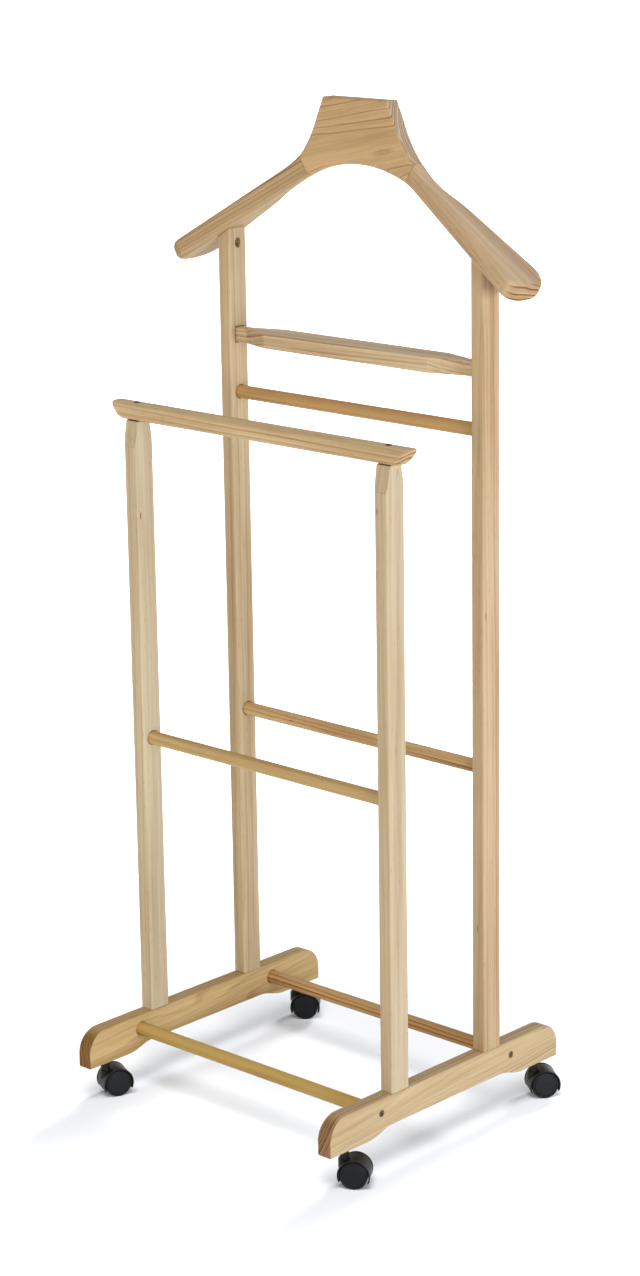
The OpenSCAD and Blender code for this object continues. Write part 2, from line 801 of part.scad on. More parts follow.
module front_left_hood() { caster_hood(LEFT, FRONT, turn_front_left); }
module front_right_hood() { caster_hood(RIGHT, FRONT, turn_front_right); }
module rear_left_hood() { caster_hood(LEFT, REAR, turn_rear_left); }
module rear_right_hood() { caster_hood(RIGHT, REAR, turn_rear_right); }
module front_left_stem() { caster_stem(LEFT, FRONT, turn_front_left); }
module front_right_stem() { caster_stem(RIGHT, FRONT, turn_front_right); }
module rear_left_stem() { caster_stem(LEFT, REAR, turn_rear_left); }
module rear_right_stem() { caster_stem(RIGHT, REAR, turn_rear_right); }
module front_left_axle() { caster_axle(LEFT, FRONT, turn_front_left); }
module front_right_axle() { caster_axle(RIGHT, FRONT, turn_front_right); }
module rear_left_axle() { caster_axle(LEFT, REAR, turn_rear_left); }
module rear_right_axle() { caster_axle(RIGHT, REAR, turn_rear_right); }
module front_left_outer_wheel() { caster_wheel(LEFT, FRONT, turn_front_left, -1); }
module front_right_outer_wheel() { caster_wheel(RIGHT, FRONT, turn_front_right, -1); }
module rear_left_outer_wheel() { caster_wheel(LEFT, REAR, turn_rear_left, -1); }
module rear_right_outer_wheel() { caster_wheel(RIGHT, REAR, turn_rear_right, -1); }
module front_left_inner_wheel() { caster_wheel(LEFT, FRONT, turn_front_left, 1); }
module front_right_inner_wheel() { caster_wheel(RIGHT, FRONT, turn_front_right, 1); }
module rear_left_inner_wheel() { caster_wheel(LEFT, REAR, turn_rear_left, 1); }
module rear_right_inner_wheel() { caster_wheel(RIGHT, REAR, turn_rear_right, 1); }

// ---------------------------------------------------------------- drawing

left_foot();
right_foot();
left_front_post();
right_front_post();
left_rear_post();
right_rear_post();
front_top_rail();
rear_top_rail();
rear_upper_dowel();
front_mid_dowel();
rear_mid_dowel();
front_bottom_dowel();
rear_bottom_dowel();
hanger_block();
left_hanger_arm();
right_hanger_arm();
hanger_joint_pins();
hanger_screws();
front_rail_screws();
foot_side_screws();
post_base_screws();
caster_sleeves();
front_left_hood();
front_right_hood();
rear_left_hood();
rear_right_hood();
front_left_stem();
front_right_stem();
rear_left_stem();
rear_right_stem();
front_left_axle();
front_right_axle();
rear_left_axle();
rear_right_axle();
front_left_outer_wheel();
front_right_outer_wheel();
rear_left_outer_wheel();
rear_right_outer_wheel();
front_left_inner_wheel();
front_right_inner_wheel();
rear_left_inner_wheel();
rear_right_inner_wheel();
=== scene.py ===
"""Clothes valet stand on casters: pine boards, dowels and a hanger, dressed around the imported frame.

Shapes are in millimetres in the model's own frame, and go into Blender in metres. The patterns of the
materials, the lamps and the camera are in metres.
"""
from math import atan2, cos, pi, radians, sin, sqrt, tan

import bmesh
import bpy
from mathutils import Matrix, Vector


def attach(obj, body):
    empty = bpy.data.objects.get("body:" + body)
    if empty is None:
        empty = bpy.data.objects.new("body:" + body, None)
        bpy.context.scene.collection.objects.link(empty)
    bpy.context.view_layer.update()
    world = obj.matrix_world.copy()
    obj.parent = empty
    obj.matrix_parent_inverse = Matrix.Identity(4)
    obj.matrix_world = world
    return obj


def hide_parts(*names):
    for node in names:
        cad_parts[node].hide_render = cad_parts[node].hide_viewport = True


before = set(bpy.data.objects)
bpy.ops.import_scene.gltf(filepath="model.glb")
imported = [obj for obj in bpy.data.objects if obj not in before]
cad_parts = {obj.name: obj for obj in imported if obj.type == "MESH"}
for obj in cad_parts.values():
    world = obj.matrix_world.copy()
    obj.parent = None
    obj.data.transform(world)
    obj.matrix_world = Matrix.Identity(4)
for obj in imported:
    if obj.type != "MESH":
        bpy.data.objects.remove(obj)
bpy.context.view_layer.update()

MM = 0.001
SIDES = {"left": -1, "right": 1}
ENDS = {"front": -1, "rear": 1}

# ---- sizes of the stand

FRAME_W, POST_PITCH, HANGER_TOP = 380.0, 150.0, 1095.0
FOOT_T, FOOT_L, FOOT_H, FOOT_EDGE_R = 18.0, 372.0, 41.5, 1.6
FOOT_END_R, FOOT_TOE_R, ARCH_H, PAD_L, SLOPE_L = 26.0, 2.2, 7.5, 61.0, 37.0
POST_W, POST_D, POST_R, POST_EASE = 18.0, 27.0, 3.0, 0.5
FRONT_POST_TOP, BEVEL_L, BEVEL_IN, BEVEL_STEP = 755.5, 28.0, 5.0, 0.35
RAIL_H, RAIL_D, RAIL_R, RAIL_OVER, RAIL_CUT, RAIL_END_R = 19.0, 23.0, 7.5, 24.0, 16.0, 2.4
REAR_RAIL_TOP, REAR_RAIL_T, REAR_RAIL_D, REAR_RAIL_EDGE_R = 837.5, 16.6, 36.0, 1.5
REAR_TAPER, TENON_W, TENON_NECK, WIDE_R, NECK_R = 38.0, 12.0, 16.0, 6, 3
DOWEL_D, DOWEL_EASE, OUT_OF_ROUND = 15.0, 1.2, 0.04
UPPER_DOWEL_Z, MID_DOWEL_Z, LOW_DOWEL_Z, LOW_DOWEL_Y = 765.0, 400.0, 66.0, 106.0
CASTER_H, CASTER_Y, SLEEVE_HOLE_D, SLEEVE_HOLE_L = 40.5, 155.0, 10.4, 25
SCREW_D, SCREW_HEAD_D, SCREW_PLAY, SCREW_ROOM_L = 4.0, 7.6, 0.25, 6

SEAT_DEPTH = 9.0  # the frame's blind holes for dowels and tenons
HOLE_L = SEAT_DEPTH - 0.4  # how deep they are here
PLUG_L = SEAT_DEPTH - 0.5  # how far a dowel or tenon goes in
HOLE_D = DOWEL_D + 1.4  # wide enough to show a thin dark seam
OUT = 3.0  # what a cutting tool stands out of the piece
SEAM = 0.05  # between two faces that touch

SIDE_X = (FRAME_W - FOOT_T) / 2
FOOT_INNER_X = SIDE_X - FOOT_T / 2
INNER_X = SIDE_X - POST_W / 2
OUTER_X = FRAME_W / 2
FOOT_TOP = CASTER_H + FOOT_H
REAR_Y = POST_PITCH / 2

# ---- mesh building

PLANS = {}  # object name: slot, body, crease angle, the nodes it stands for
MERGE = 2e-7  # points closer than this, in metres, become one


def new_object(name, data, place=None):
    """An object in the scene, at its place."""
    obj = bpy.data.objects.new(name, data)
    bpy.context.scene.collection.objects.link(obj)
    if place is not None:
        obj.matrix_world = place
    return obj


def closed_mesh(name, verts, faces):
    """A mesh from millimetre points, with its faces turned outwards."""
    mesh = bpy.data.meshes.new(name)
    mesh.from_pydata([Vector(v) * MM for v in verts], [], faces)
    bm = bmesh.new()
    bm.from_mesh(mesh)
    bmesh.ops.remove_doubles(bm, verts=bm.verts, dist=MERGE)
    bmesh.ops.recalc_face_normals(bm, faces=bm.faces)
    bm.to_mesh(mesh)
    bm.free()
    return mesh


def piece(name, verts, faces, slot, material, body="stand", nodes=(), place=None, sharp=32):
    """A piece to be shaped further; done() finishes it by its plan."""
    obj = new_object(name, closed_mesh(name, verts, faces), place)
    obj.data.materials.append(material)
    PLANS[obj.name] = (slot, body, sharp, nodes)
    return obj


def solid(verts, faces, place=None):
    """A bare closed solid to combine with a piece."""
    obj = new_object("tool", closed_mesh("tool", verts, faces), place)
    bpy.context.view_layer.update()
    return obj


def combine(obj, tools, operation):
    """Joins closed solids to a mesh, or cuts them out of it, and keeps the result as its mesh."""
    for tool in tools:
        mod = obj.modifiers.new("combine", "BOOLEAN")
        mod.operation = operation
        mod.solver = "EXACT"
        mod.object = tool
    materials = list(obj.data.materials)
    graph = bpy.context.evaluated_depsgraph_get()
    mesh = bpy.data.meshes.new_from_object(obj.evaluated_get(graph))
    obj.modifiers.clear()
    obj.data = mesh
    mesh.materials.clear()
    for material in materials:
        mesh.materials.append(material)
    for tool in tools:
        bpy.data.objects.remove(tool)
    return obj


def done(obj, crease=None):
    """Smooth shading with crisp edges, then the ride and the nodes the piece stands for."""
    slot, body, sharp, nodes = PLANS[obj.name]
    mesh = obj.data
    mesh.shade_smooth()
    mesh.set_sharp_from_angle(angle=radians(sharp))
    if crease:
        bm = bmesh.new()
        bm.from_mesh(mesh)
        for edge in bm.edges:
            if len(edge.link_faces) == 2:
                a, b = (crease(f) for f in edge.link_faces)
                if a != b:
                    edge.smooth = False
        bm.to_mesh(mesh)
        bm.free()
    mod = obj.modifiers.new("flat", "WEIGHTED_NORMAL")
    mod.keep_sharp = True
    mod.weight = 100
    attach(obj, body)
    if nodes:
        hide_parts(*nodes)
    return obj


def at(x, y, z, turn=None):
    """A place in millimetres, with an optional rotation."""
    move = Matrix.Translation(Vector((x, y, z)) * MM)
    return move @ turn if turn else move


def spread(start, end, steps):
    """Evenly spaced values, with both ends."""
    return [start + (end - start) * i / steps for i in range(steps + 1)]


def quarter(steps):
    """The angles of a quarter turn, from zero."""
    return spread(0, pi / 2, steps)


def rings_to_faces(count, n):
    """The side faces that join rings of n points."""
    return [(j * n + k, j * n + (k + 1) % n, (j + 1) * n + (k + 1) % n, (j + 1) * n + k)
            for j in range(count - 1) for k in range(n)]


def loft(rows, shift=(0, 0, 0)):
    """The points and faces of a solid through rows of points, with a face over each end."""
    verts = [[v + d for v, d in zip(point, shift)] for row in rows for point in row]
    count, n = len(rows), len(rows[0])
    ends = [tuple(reversed(range(n))), tuple(range((count - 1) * n, count * n))]
    return verts, rings_to_faces(count, n) + ends


def quilted(count, n, quads):
    """Faces that join rings of n points, with the same quads across both ends."""
    faces = rings_to_faces(count, n)
    last = (count - 1) * n
    for quad in quads:
        faces += [quad, tuple(last + i for i in reversed(quad))]
    return faces


def lathe(profile, steps=64):
    """A solid of revolution about Z from (radius, height) points that start and end on the axis."""
    verts, faces = [], []
    for k in range(steps):
        a = 2 * pi * k / steps
        verts += [(r * cos(a), r * sin(a), z) for r, z in profile]
    n = len(profile)
    for k in range(steps):
        q = (k + 1) % steps
        for i in range(n - 1):
            quad = (k * n + i, q * n + i, q * n + i + 1, k * n + i + 1)
            if profile[i][0] == 0:
                quad = (k * n + i, q * n + i + 1, k * n + i + 1)
            elif profile[i + 1][0] == 0:
                quad = (k * n + i, q * n + i, k * n + i + 1)
            faces.append(quad)
    return verts, faces


def tube(d, h0, h1, steps=48):
    """A straight cylinder about Z, to combine with a piece."""
    return lathe([(0, h0), (d / 2, h0), (d / 2, h1), (0, h1)], steps)


ALONG_X = Matrix.Rotation(pi / 2, 4, "Y")
ALONG_Y = Matrix.Rotation(-pi / 2, 4, "X")


def dowel_hole(xs, y, z):
    return solid(*tube(HOLE_D, *xs), place=at(0, y, z, ALONG_X))


def fillet(points, radii, steps=6):
    """Rounds the corners of a closed outline."""
    out = []
    n = len(points)
    for i, (p, r) in enumerate(zip(points, radii)):
        if not r:
            out.append(tuple(p))
            continue
        p = Vector(p)
        a = (Vector(points[i - 1]) - p).normalized()
        b = (Vector(points[(i + 1) % n]) - p).normalized()
        half = a.angle(b) / 2
        centre = p + (a + b).normalized() * (r / sin(half))
        start, end = p + a * (r / tan(half)) - centre, p + b * (r / tan(half)) - centre
        turn = start.angle_signed(end)
        for k in range(steps + 1):
            q = start.copy()
            q.rotate(Matrix.Rotation(-turn * k / steps, 2))
            out.append(tuple(centre + q))
    return out


def outline_insets(points):
    """For each point of a closed outline, the mitred way inwards for one unit of inset."""
    edges = list(zip(points, points[1:] + points[:1]))
    way = 1 if sum(p[0] * q[1] - q[0] * p[1] for p, q in edges) > 0 else -1
    normals = []
    for p, q in edges:
        d = (Vector(q) - Vector(p)).normalized()
        normals.append(Vector((-d.y, d.x)) * way)
    return [(a + b) / (1 + a.dot(b)) for a, b in zip(normals[-1:] + normals[:-1], normals)]


def slab(outline, low, high, r, steps=5):
    """A board from its outline, with rounded edges, between two levels: points (u, v, level)."""
    ways = outline_insets(outline)
    levels = [(r * (1 - sin(a)), low + r * (1 - cos(a))) for a in quarter(steps)]
    levels += [(inset, low + high - w) for inset, w in reversed(levels)]
    return loft([[(p[0] + q.x * inset, p[1] + q.y * inset, w) for p, q in zip(outline, ways)]
                 for inset, w in levels])


def section(w, d, r, steps=6):
    """Rectangle with rounded corners, as points round its centre."""
    points = []
    for sx, sy, start in ((1, -1, -90), (1, 1, 0), (-1, 1, 90), (-1, -1, 180)):
        for k in range(steps + 1):
            a = radians(start + 90 * k / steps)
            points.append((sx * (w / 2 - r) + r * cos(a), sy * (d / 2 - r) + r * sin(a)))
    return points


def screw_room(head_at, direction, open_above=1.0):
    """The countersunk room of a screw's head, which opens against its direction."""
    d, head = SCREW_D + 2 * SCREW_PLAY, SCREW_HEAD_D + 2 * SCREW_PLAY
    depth = (head - d) / 2
    profile = [(0, open_above), (head / 2, open_above), (head / 2, 0), (d / 2, -depth),
               (d / 2, -depth - SCREW_ROOM_L), (0, -depth - SCREW_ROOM_L)]
    turn = Vector((0, 0, -1)).rotation_difference(Vector(direction)).to_matrix().to_4x4()
    return solid(*lathe(profile, 40), place=at(*head_at, turn))


# ---- materials


def colour(text):
    """A linear colour from an sRGB hex text."""
    parts = [int(text[i : i + 2], 16) / 255 for i in (1, 3, 5)]
    return tuple(c / 12.92 if c <= 0.04045 else ((c + 0.055) / 1.055) ** 2.4 for c in parts) + (1.0,)


class Graph:
    """Short ways to add and join shader nodes."""

    def __init__(self, tree):
        self.tree = tree

    def give(self, socket, value):
        if isinstance(value, bpy.types.NodeSocket):
            self.tree.links.new(value, socket)
        else:
            socket.default_value = value

    def add(self, kind, inputs=None, **settings):
        node = self.tree.nodes.new(kind if kind.startswith("NodeGroup") else "ShaderNode" + kind)
        for key, value in settings.items():
            setattr(node, key, value)
        for key, value in (inputs or {}).items():
            self.give(node.inputs[key], value)
        return node

    def math(self, operation, *values, clamp=False):
        return self.add("Math", dict(enumerate(values)), operation=operation, use_clamp=clamp).outputs[0]

    def fold(self, operation, values, clamp):
        total, last = values[0], len(values) - 1
        for i, value in enumerate(values[1:], start=1):
            total = self.math(operation, total, value, clamp=clamp and i == last)
        return total

    def plus(self, *values, clamp=False):
        return self.fold("ADD", values, clamp)

    def times(self, *values, clamp=False):
        return self.fold("MULTIPLY", values, clamp)

    def minus(self, a, b):
        return self.math("SUBTRACT", a, b)

    def dot(self, a, b):
        return self.vector("DOT_PRODUCT", a, b)

    def vector(self, operation, *values):
        node = self.add("VectorMath", operation=operation)
        for i, value in enumerate(values):
            self.give(node.inputs["Scale" if operation == "SCALE" and i == 1 else i], value)
        return node.outputs["Value" if operation in ("DOT_PRODUCT", "LENGTH") else "Vector"]

    def noise(self, where, detail=2.0, roughness=0.5, scale=1.0, out="Fac"):
        inputs = {"Vector": where, "Scale": scale, "Detail": detail, "Roughness": roughness}
        return self.add("TexNoise", inputs).outputs[out]

    def ramp(self, value, low, high, to_low=0.0, to_high=1.0):
        inputs = {"Value": value, "From Min": low, "From Max": high, "To Min": to_low, "To Max": to_high}
        return self.add("MapRange", inputs, interpolation_type="SMOOTHSTEP").outputs[0]

    def mix(self, factor, a, b):
        return self.add("Mix", {0: factor, 6: a, 7: b}, data_type="RGBA", blend_type="MIX").outputs[2]

    def centred(self, value, gain):
        """A pattern between 0 and 1, moved to lie round zero."""
        return self.times(self.minus(value, 0.5), gain)

    def here(self):
        return self.add("TexCoord").outputs["Object"]

    def seen(self):
        """One for rays that show a surface to the camera, zero for rays that carry light on."""
        path = self.add("LightPath").outputs
        seen = self.math("MAXIMUM", path["Is Camera Ray"], path["Is Glossy Ray"], clamp=True)
        return self.math("MAXIMUM", seen, path["Is Transmission Ray"], clamp=True)

    def surface(self, inputs, height, strength, depth):
        """The material's shader, with a bump from a height."""
        bump = self.add("Bump", {"Strength": strength, "Distance": depth, "Height": height})
        shader = self.add("BsdfPrincipled", {**inputs, "Normal": bump.outputs[0]})
        self.add("OutputMaterial", {"Surface": shader.outputs[0]})


def blank(block):
    """Empties the node tree of a material or world, and gives the Graph to fill it."""
    block.use_nodes = True
    block.node_tree.nodes.clear()
    return Graph(block.node_tree)


# the wood's patterns: cells per metre along the grain and across it
DRIFT, WANDER, FIBRE, FINE = (3.0, 16.0), (14.0, 90.0), (7.0, 420.0), (20.0, 1700.0)
STREAK, CLOUD, KNOTS, CANALS = (1.6, 75.0), (4.0, 22.0), (26.0, 150.0), (70.0, 900.0)
STREAK_GAIN, FIBRE_GAIN, FINE_GAIN, CLOUD_GAIN = 2.4, 1.5, 0.3, 0.8
SEED_STEP = (17.3, 5.1, 9.7)  # moves the patterns from board to board
WANDER_BY = 0.0018  # metres that a ring strays from fibre to fibre
WIDTH_RATE, WIDTH_GAIN = 0.41, 1.6  # how ring widths vary from the pith outwards
LATE_FULL, LATE_ENDS = 0.90, 0.92  # the late wood of a ring, and its sharp end
FAINTEST = 0.4  # the lines of the faintest ring, against the strongest
FLAT_LOSS = -0.5  # lines on a face cut flat along the rings
BASE_TONE = 0.12
END_FACING = (0.12, 0.72)  # how squarely a face cuts the fibres to show end grain
END_RINGS, END_MOTTLE = 2.6, 0.5
FIBRE_HIGH, FINE_HIGH, LATE_LOW, MARKS_LOW = 0.5, 0.3, 0.35, 0.5
WOOD_ROUGH, WOOD_ROUGH_BY, END_ROUGH_BY = 0.55, 0.16, 0.16
# the seam colour and its strength paint contact shade where two pieces meet
MARK_TINT, END_RING_TINT, SEAM_SHADE_TINT, SEAM_SHADE_DARK = "#6E4A26", "#5C3816", "#6A4520", 0.75


def wood_group():
    """Solid wood: growth rings round a pith line, fibres along the grain, end grain where it is cut."""
    tree = bpy.data.node_groups.new("solid_wood", "ShaderNodeTree")
    face = tree.interface
    for kind, names in (("Vector", "origin grain side eye eye_scale tone"),
                        ("Float", "seed ring wobble lines late_from soft streaks specks end eye_lift"),
                        ("Color", "early late end_tint")):
        for name in names.split():
            face.new_socket(name, in_out="INPUT", socket_type="NodeSocket" + kind)
    for name, kind in (("Color", "Color"), ("Roughness", "Float"), ("Height", "Float")):
        face.new_socket(name, in_out="OUTPUT", socket_type="NodeSocket" + kind)
    g = Graph(tree)
    given = g.add("NodeGroupInput").outputs
    here = g.vector("SUBTRACT", g.here(), given["origin"])
    third = g.vector("CROSS_PRODUCT", given["grain"], given["side"])
    axes = (given["grain"], given["side"], third)
    board = g.add("CombineXYZ", {i: g.dot(here, axis) for i, axis in enumerate(axes)}).outputs[0]
    shift = g.vector("SCALE", SEED_STEP, given["seed"])

    def stretched(x, yz):
        return g.vector("ADD", g.vector("MULTIPLY", board, (x, yz, yz)), shift)

    def strayed(scale, by):
        pattern = g.noise(stretched(*scale), out="Color")
        return g.vector("SCALE", g.vector("SUBTRACT", pattern, (0.5, 0.5, 0.5)), by)

    # the rings wander slowly along the board and a little from fibre to fibre
    stray = g.vector("ADD", strayed(DRIFT, given["wobble"]), strayed(WANDER, WANDER_BY))
    bent = g.vector("ADD", board, stray)
    across = g.vector("MULTIPLY", bent, (0.0, 1.0, 1.0))
    radius = g.math("DIVIDE", g.vector("LENGTH", across), given["ring"])
    widths = g.add("TexNoise", {"W": g.times(radius, WIDTH_RATE), "Scale": 1.0, "Detail": 1.0},
                   noise_dimensions="1D").outputs[0]
    # an eye, where the rings swell towards the face
    eye = g.vector("MULTIPLY", g.vector("SUBTRACT", bent, given["eye"]), given["eye_scale"])
    lift = g.times(g.ramp(g.vector("LENGTH", eye), 0.0, 1.0, 1.0, 0.0), given["eye_lift"])
    age = g.plus(radius, g.times(widths, WIDTH_GAIN), lift)
    part = g.math("FRACT", age)
    ring = g.plus(g.math("FLOOR", age), given["seed"])
    vigour = g.add("TexWhiteNoise", {"W": ring}, noise_dimensions="1D").outputs["Value"]
    crisp = g.times(g.ramp(part, given["late_from"], LATE_FULL), g.ramp(part, LATE_ENDS, 1.0, 1.0, 0.0))
    round_ring = g.math("POWER", g.math("SINE", g.times(part, pi)), 2.0)
    late = g.plus(crisp, g.times(g.minus(round_ring, crisp), given["soft"]))
    late = g.times(late, g.math("MULTIPLY_ADD", vigour, 1 - FAINTEST, FAINTEST))

    # a face cut flat along the rings shows them broad and faint, one cut across them thin and strong
    normal = g.add("NewGeometry").outputs["Normal"]
    turned = g.add("CombineXYZ", {1: g.dot(normal, given["side"]), 2: g.dot(normal, third)})
    flat = g.dot(g.vector("NORMALIZE", across), turned.outputs[0])
    drawn = g.math("MULTIPLY_ADD", g.times(flat, flat), FLAT_LOSS, 1.0)

    fibre = g.noise(stretched(*FIBRE), detail=3.0, roughness=0.6)
    fine = g.noise(stretched(*FINE), roughness=0.6)
    streak, cloud = g.noise(stretched(*STREAK)), g.noise(stretched(*CLOUD))
    amount = g.plus(
        g.times(late, drawn, given["lines"]),
        g.times(g.centred(streak, STREAK_GAIN), given["streaks"]),
        g.times(g.centred(fibre, FIBRE_GAIN), given["streaks"]),
        g.plus(g.centred(fine, FINE_GAIN), BASE_TONE),
        # painted light and shade: a slope across the board, lighter one way and darker the other
        g.dot(board, given["tone"]),
        g.centred(cloud, CLOUD_GAIN), clamp=True)
    body = g.mix(amount, given["early"], given["late"])

    def spots(scale, core, rim, strength, rare):
        """Dark marks at the few cells of a pattern whose random value is above rare."""
        cells = g.add("TexVoronoi", {"Vector": stretched(*scale), "Scale": 1.0}).outputs
        pick = g.add("SeparateColor", {0: cells["Color"]}).outputs[0]
        return g.times(g.ramp(cells["Distance"], core, rim, strength, 0.0),
                       g.math("GREATER_THAN", pick, rare))

    # tiny pin knots and resin canals
    marks = g.math("MAXIMUM", spots(KNOTS, core=0.07, rim=0.17, strength=1.0, rare=0.94),
                   spots(CANALS, core=0.1, rim=0.34, strength=0.45, rare=0.86))
    marks = g.times(marks, given["specks"], clamp=True)
    body = g.mix(marks, body, colour(MARK_TINT))

    # end grain soaks up the finish and reads browner, with stronger rings
    end = g.ramp(g.math("ABSOLUTE", g.dot(normal, given["grain"])), *END_FACING)
    cut = g.mix(g.math("MULTIPLY_ADD", late, END_RINGS, g.centred(fine, END_MOTTLE), clamp=True),
                given["end_tint"], colour(END_RING_TINT))
    body = g.mix(g.times(end, given["end"]), body, cut)

    # fibres stand up a little; late wood and marks lie lower
    height = g.math("MULTIPLY_ADD", fibre, FIBRE_HIGH, g.times(fine, FINE_HIGH))
    height = g.minus(g.minus(height, g.times(late, LATE_LOW)), g.times(marks, MARKS_LOW))
    rough = g.plus(WOOD_ROUGH, g.plus(g.centred(fibre, WOOD_ROUGH_BY), g.times(end, END_ROUGH_BY)))
    g.add("NodeGroupOutput", {"Color": body, "Roughness": rough, "Height": height})
    return tree


WOOD = wood_group()
PINE = dict(ring=2.4, wobble=5.0, early="#DCC6A1", late="#BC9A6E", lines=0.55, late_from=0.52, soft=0.3,
            streaks=0.5, specks=0.5, end=0.85, end_tint="#A87C4C")


def wood(name, grain, origin, side=(0, 1, 0), tone=(0.0, 0.0, 0.0), shade_at=None, eye=None, **look):
    """A material for one board: its grain direction, where its pith line passes, and its rings (mm).

    The plane and reach given for a seam, where two pieces meet, darken the wood along it as painted contact
    shade;
    eye is where the rings swell: its centre, its reach along the board's axes and its height in rings.
    """
    material = bpy.data.materials.new(name)
    g = blank(material)
    grain = Vector(grain).normalized()
    side = Vector(side)
    side = (side - grain * side.dot(grain)).normalized()
    given = {key: colour(v) if isinstance(v, str) else v for key, v in {**PINE, **look}.items()}
    given.update(origin=Vector(origin) * MM, grain=grain, side=side, tone=Vector(tone) / MM,
                 ring=given["ring"] * MM, wobble=given["wobble"] * MM)
    if eye:
        centre, reach, lift = eye
        centre = (Vector(centre) - Vector(origin)) * MM
        given["eye"] = [centre.dot(axis) for axis in (grain, side, grain.cross(side))]
        given["eye_scale"] = [1 / (r * MM) for r in reach]
        given["eye_lift"] = lift
    timber = g.add("Group", given, node_tree=WOOD).outputs
    tint = timber["Color"]
    # painted contact shade: the wood darkens towards the plane where two pieces meet
    if shade_at:
        point, normal, reach = shade_at
        away = g.vector("SUBTRACT", g.here(), Vector(point) * MM)
        away = g.math("ABSOLUTE", g.dot(away, Vector(normal).normalized()))
        tint = g.mix(g.ramp(away, 0.0, reach * MM, SEAM_SHADE_DARK, 0.0), tint, colour(SEAM_SHADE_TINT))
    g.surface({"Base Color": tint, "Roughness": timber["Roughness"], "Specular IOR Level": 0.22},
              timber["Height"], strength=0.35, depth=0.0004)
    return material


PLASTIC_GRAIN, PLASTIC_CLOUD, SCRATCHES, SCUFF_TINT = 2600.0, 130.0, (900.0, 900.0, 120.0), "#3C3B38"
STEEL_BLOTCH, STEEL_GRAIN = 500.0, 4200.0


def plastic(name, base, worn, rough=0.42, scuffs=0.35):
    """Moulded plastic: a fine spark-eroded grain, slight cloudiness and a few pale scuffs."""
    material = bpy.data.materials.new(name)
    g = blank(material)
    here = g.here()
    fine = g.noise(here, detail=3.0, roughness=0.6, scale=PLASTIC_GRAIN)
    cloud = g.noise(here, detail=3.0, scale=PLASTIC_CLOUD)
    scratch = g.noise(g.vector("MULTIPLY", here, SCRATCHES), detail=4.0, roughness=0.7)
    marks = g.times(g.ramp(scratch, 0.60, 0.78), g.ramp(cloud, 0.45, 0.7))
    tint = g.mix(g.times(cloud, 0.5), colour(base), colour(worn))
    tint = g.mix(g.times(marks, scuffs), tint, colour(SCUFF_TINT))
    shine = g.plus(rough, g.centred(cloud, 0.16))
    g.surface({"Base Color": tint, "Roughness": shine, "Specular IOR Level": 0.2}, fine,
              strength=0.5, depth=0.00005)
    return material


def metal(name, base, dull, rough=0.34):
    """Plated steel, slightly blotched and with fine turning marks."""
    material = bpy.data.materials.new(name)
    g = blank(material)
    here = g.here()
    blotch = g.noise(here, detail=3.0, scale=STEEL_BLOTCH)
    fine = g.noise(here, scale=STEEL_GRAIN)
    tint = g.mix(g.ramp(blotch, 0.35, 0.65), colour(base), colour(dull))
    shine = g.plus(rough, g.times(blotch, 0.2))
    g.surface({"Base Color": tint, "Roughness": shine, "Metallic": 1.0}, fine, strength=0.3, depth=0.00004)
    return material


# ---- feet


def foot_outline():
    """Side view of a foot: (y, z)."""
    half, steps = FOOT_L / 2, 14
    flat = half - PAD_L - SLOPE_L
    slope = [(flat + SLOPE_L * i / steps, ARCH_H * (1 + cos(pi * i / steps)) / 2)
             for i in range(steps + 1)]
    right = slope + [(half, 0.0), (half, FOOT_H)]
    radii = [0] * len(slope) + [FOOT_TOE_R, FOOT_END_R]
    points = fillet(right + [(-y, z) for y, z in reversed(right)], radii + radii[::-1], steps=12)
    return [(y, z + CASTER_H) for y, z in points]


FOOT_WOOD = {
    "left": dict(grain=(0.02, 1, 0.03), side=(0, 0, 1), origin=(-SIDE_X - 58, 0, 50), seed=3.1, ring=4.7,
                 late_from=0.66, wobble=10, early="#D6B780", late="#825626", lines=0.95, streaks=0.45,
                 end_tint="#8E632D", eye=((-SIDE_X + 9, -30, 70), (95, 14, 40), 0.8)),
    "right": dict(grain=(-0.02, 1, 0.05), side=(0, 0, 1), origin=(SIDE_X - 50, 0, 85), seed=8.6, ring=4.4,
                  late_from=0.7, wobble=15, early="#CDB58D", late="#8E6537", lines=1.35, streaks=0.35,
                  end_tint="#A47B5A"),
}


def make_foot(label):
    side = SIDES[label]
    verts, faces = slab(foot_outline(), -FOOT_T / 2, FOOT_T / 2, FOOT_EDGE_R)
    verts = [(side * SIDE_X + w, y, z) for y, z, w in verts]
    foot = piece(f"{label}_foot_board", verts, faces, "pine",
                 wood(f"pine_{label}_foot", **FOOT_WOOD[label]), nodes=[f"{label}_foot"])
    tools = []
    xs = sorted((side * (FOOT_INNER_X - OUT), side * (FOOT_INNER_X + HOLE_L)))
    for end in ENDS.values():
        tools += [
            dowel_hole(xs, end * LOW_DOWEL_Y, LOW_DOWEL_Z),
            screw_room((side * OUTER_X, end * LOW_DOWEL_Y, LOW_DOWEL_Z), (-side, 0, 0)),
            screw_room((side * SIDE_X, end * REAR_Y, CASTER_H + ARCH_H), (0, 0, 1)),
            solid(*tube(SLEEVE_HOLE_D, -1, SLEEVE_HOLE_L), place=at(side * SIDE_X, end * CASTER_Y, CASTER_H)),
        ]
    return done(combine(foot, tools, "DIFFERENCE"))


# ---- posts

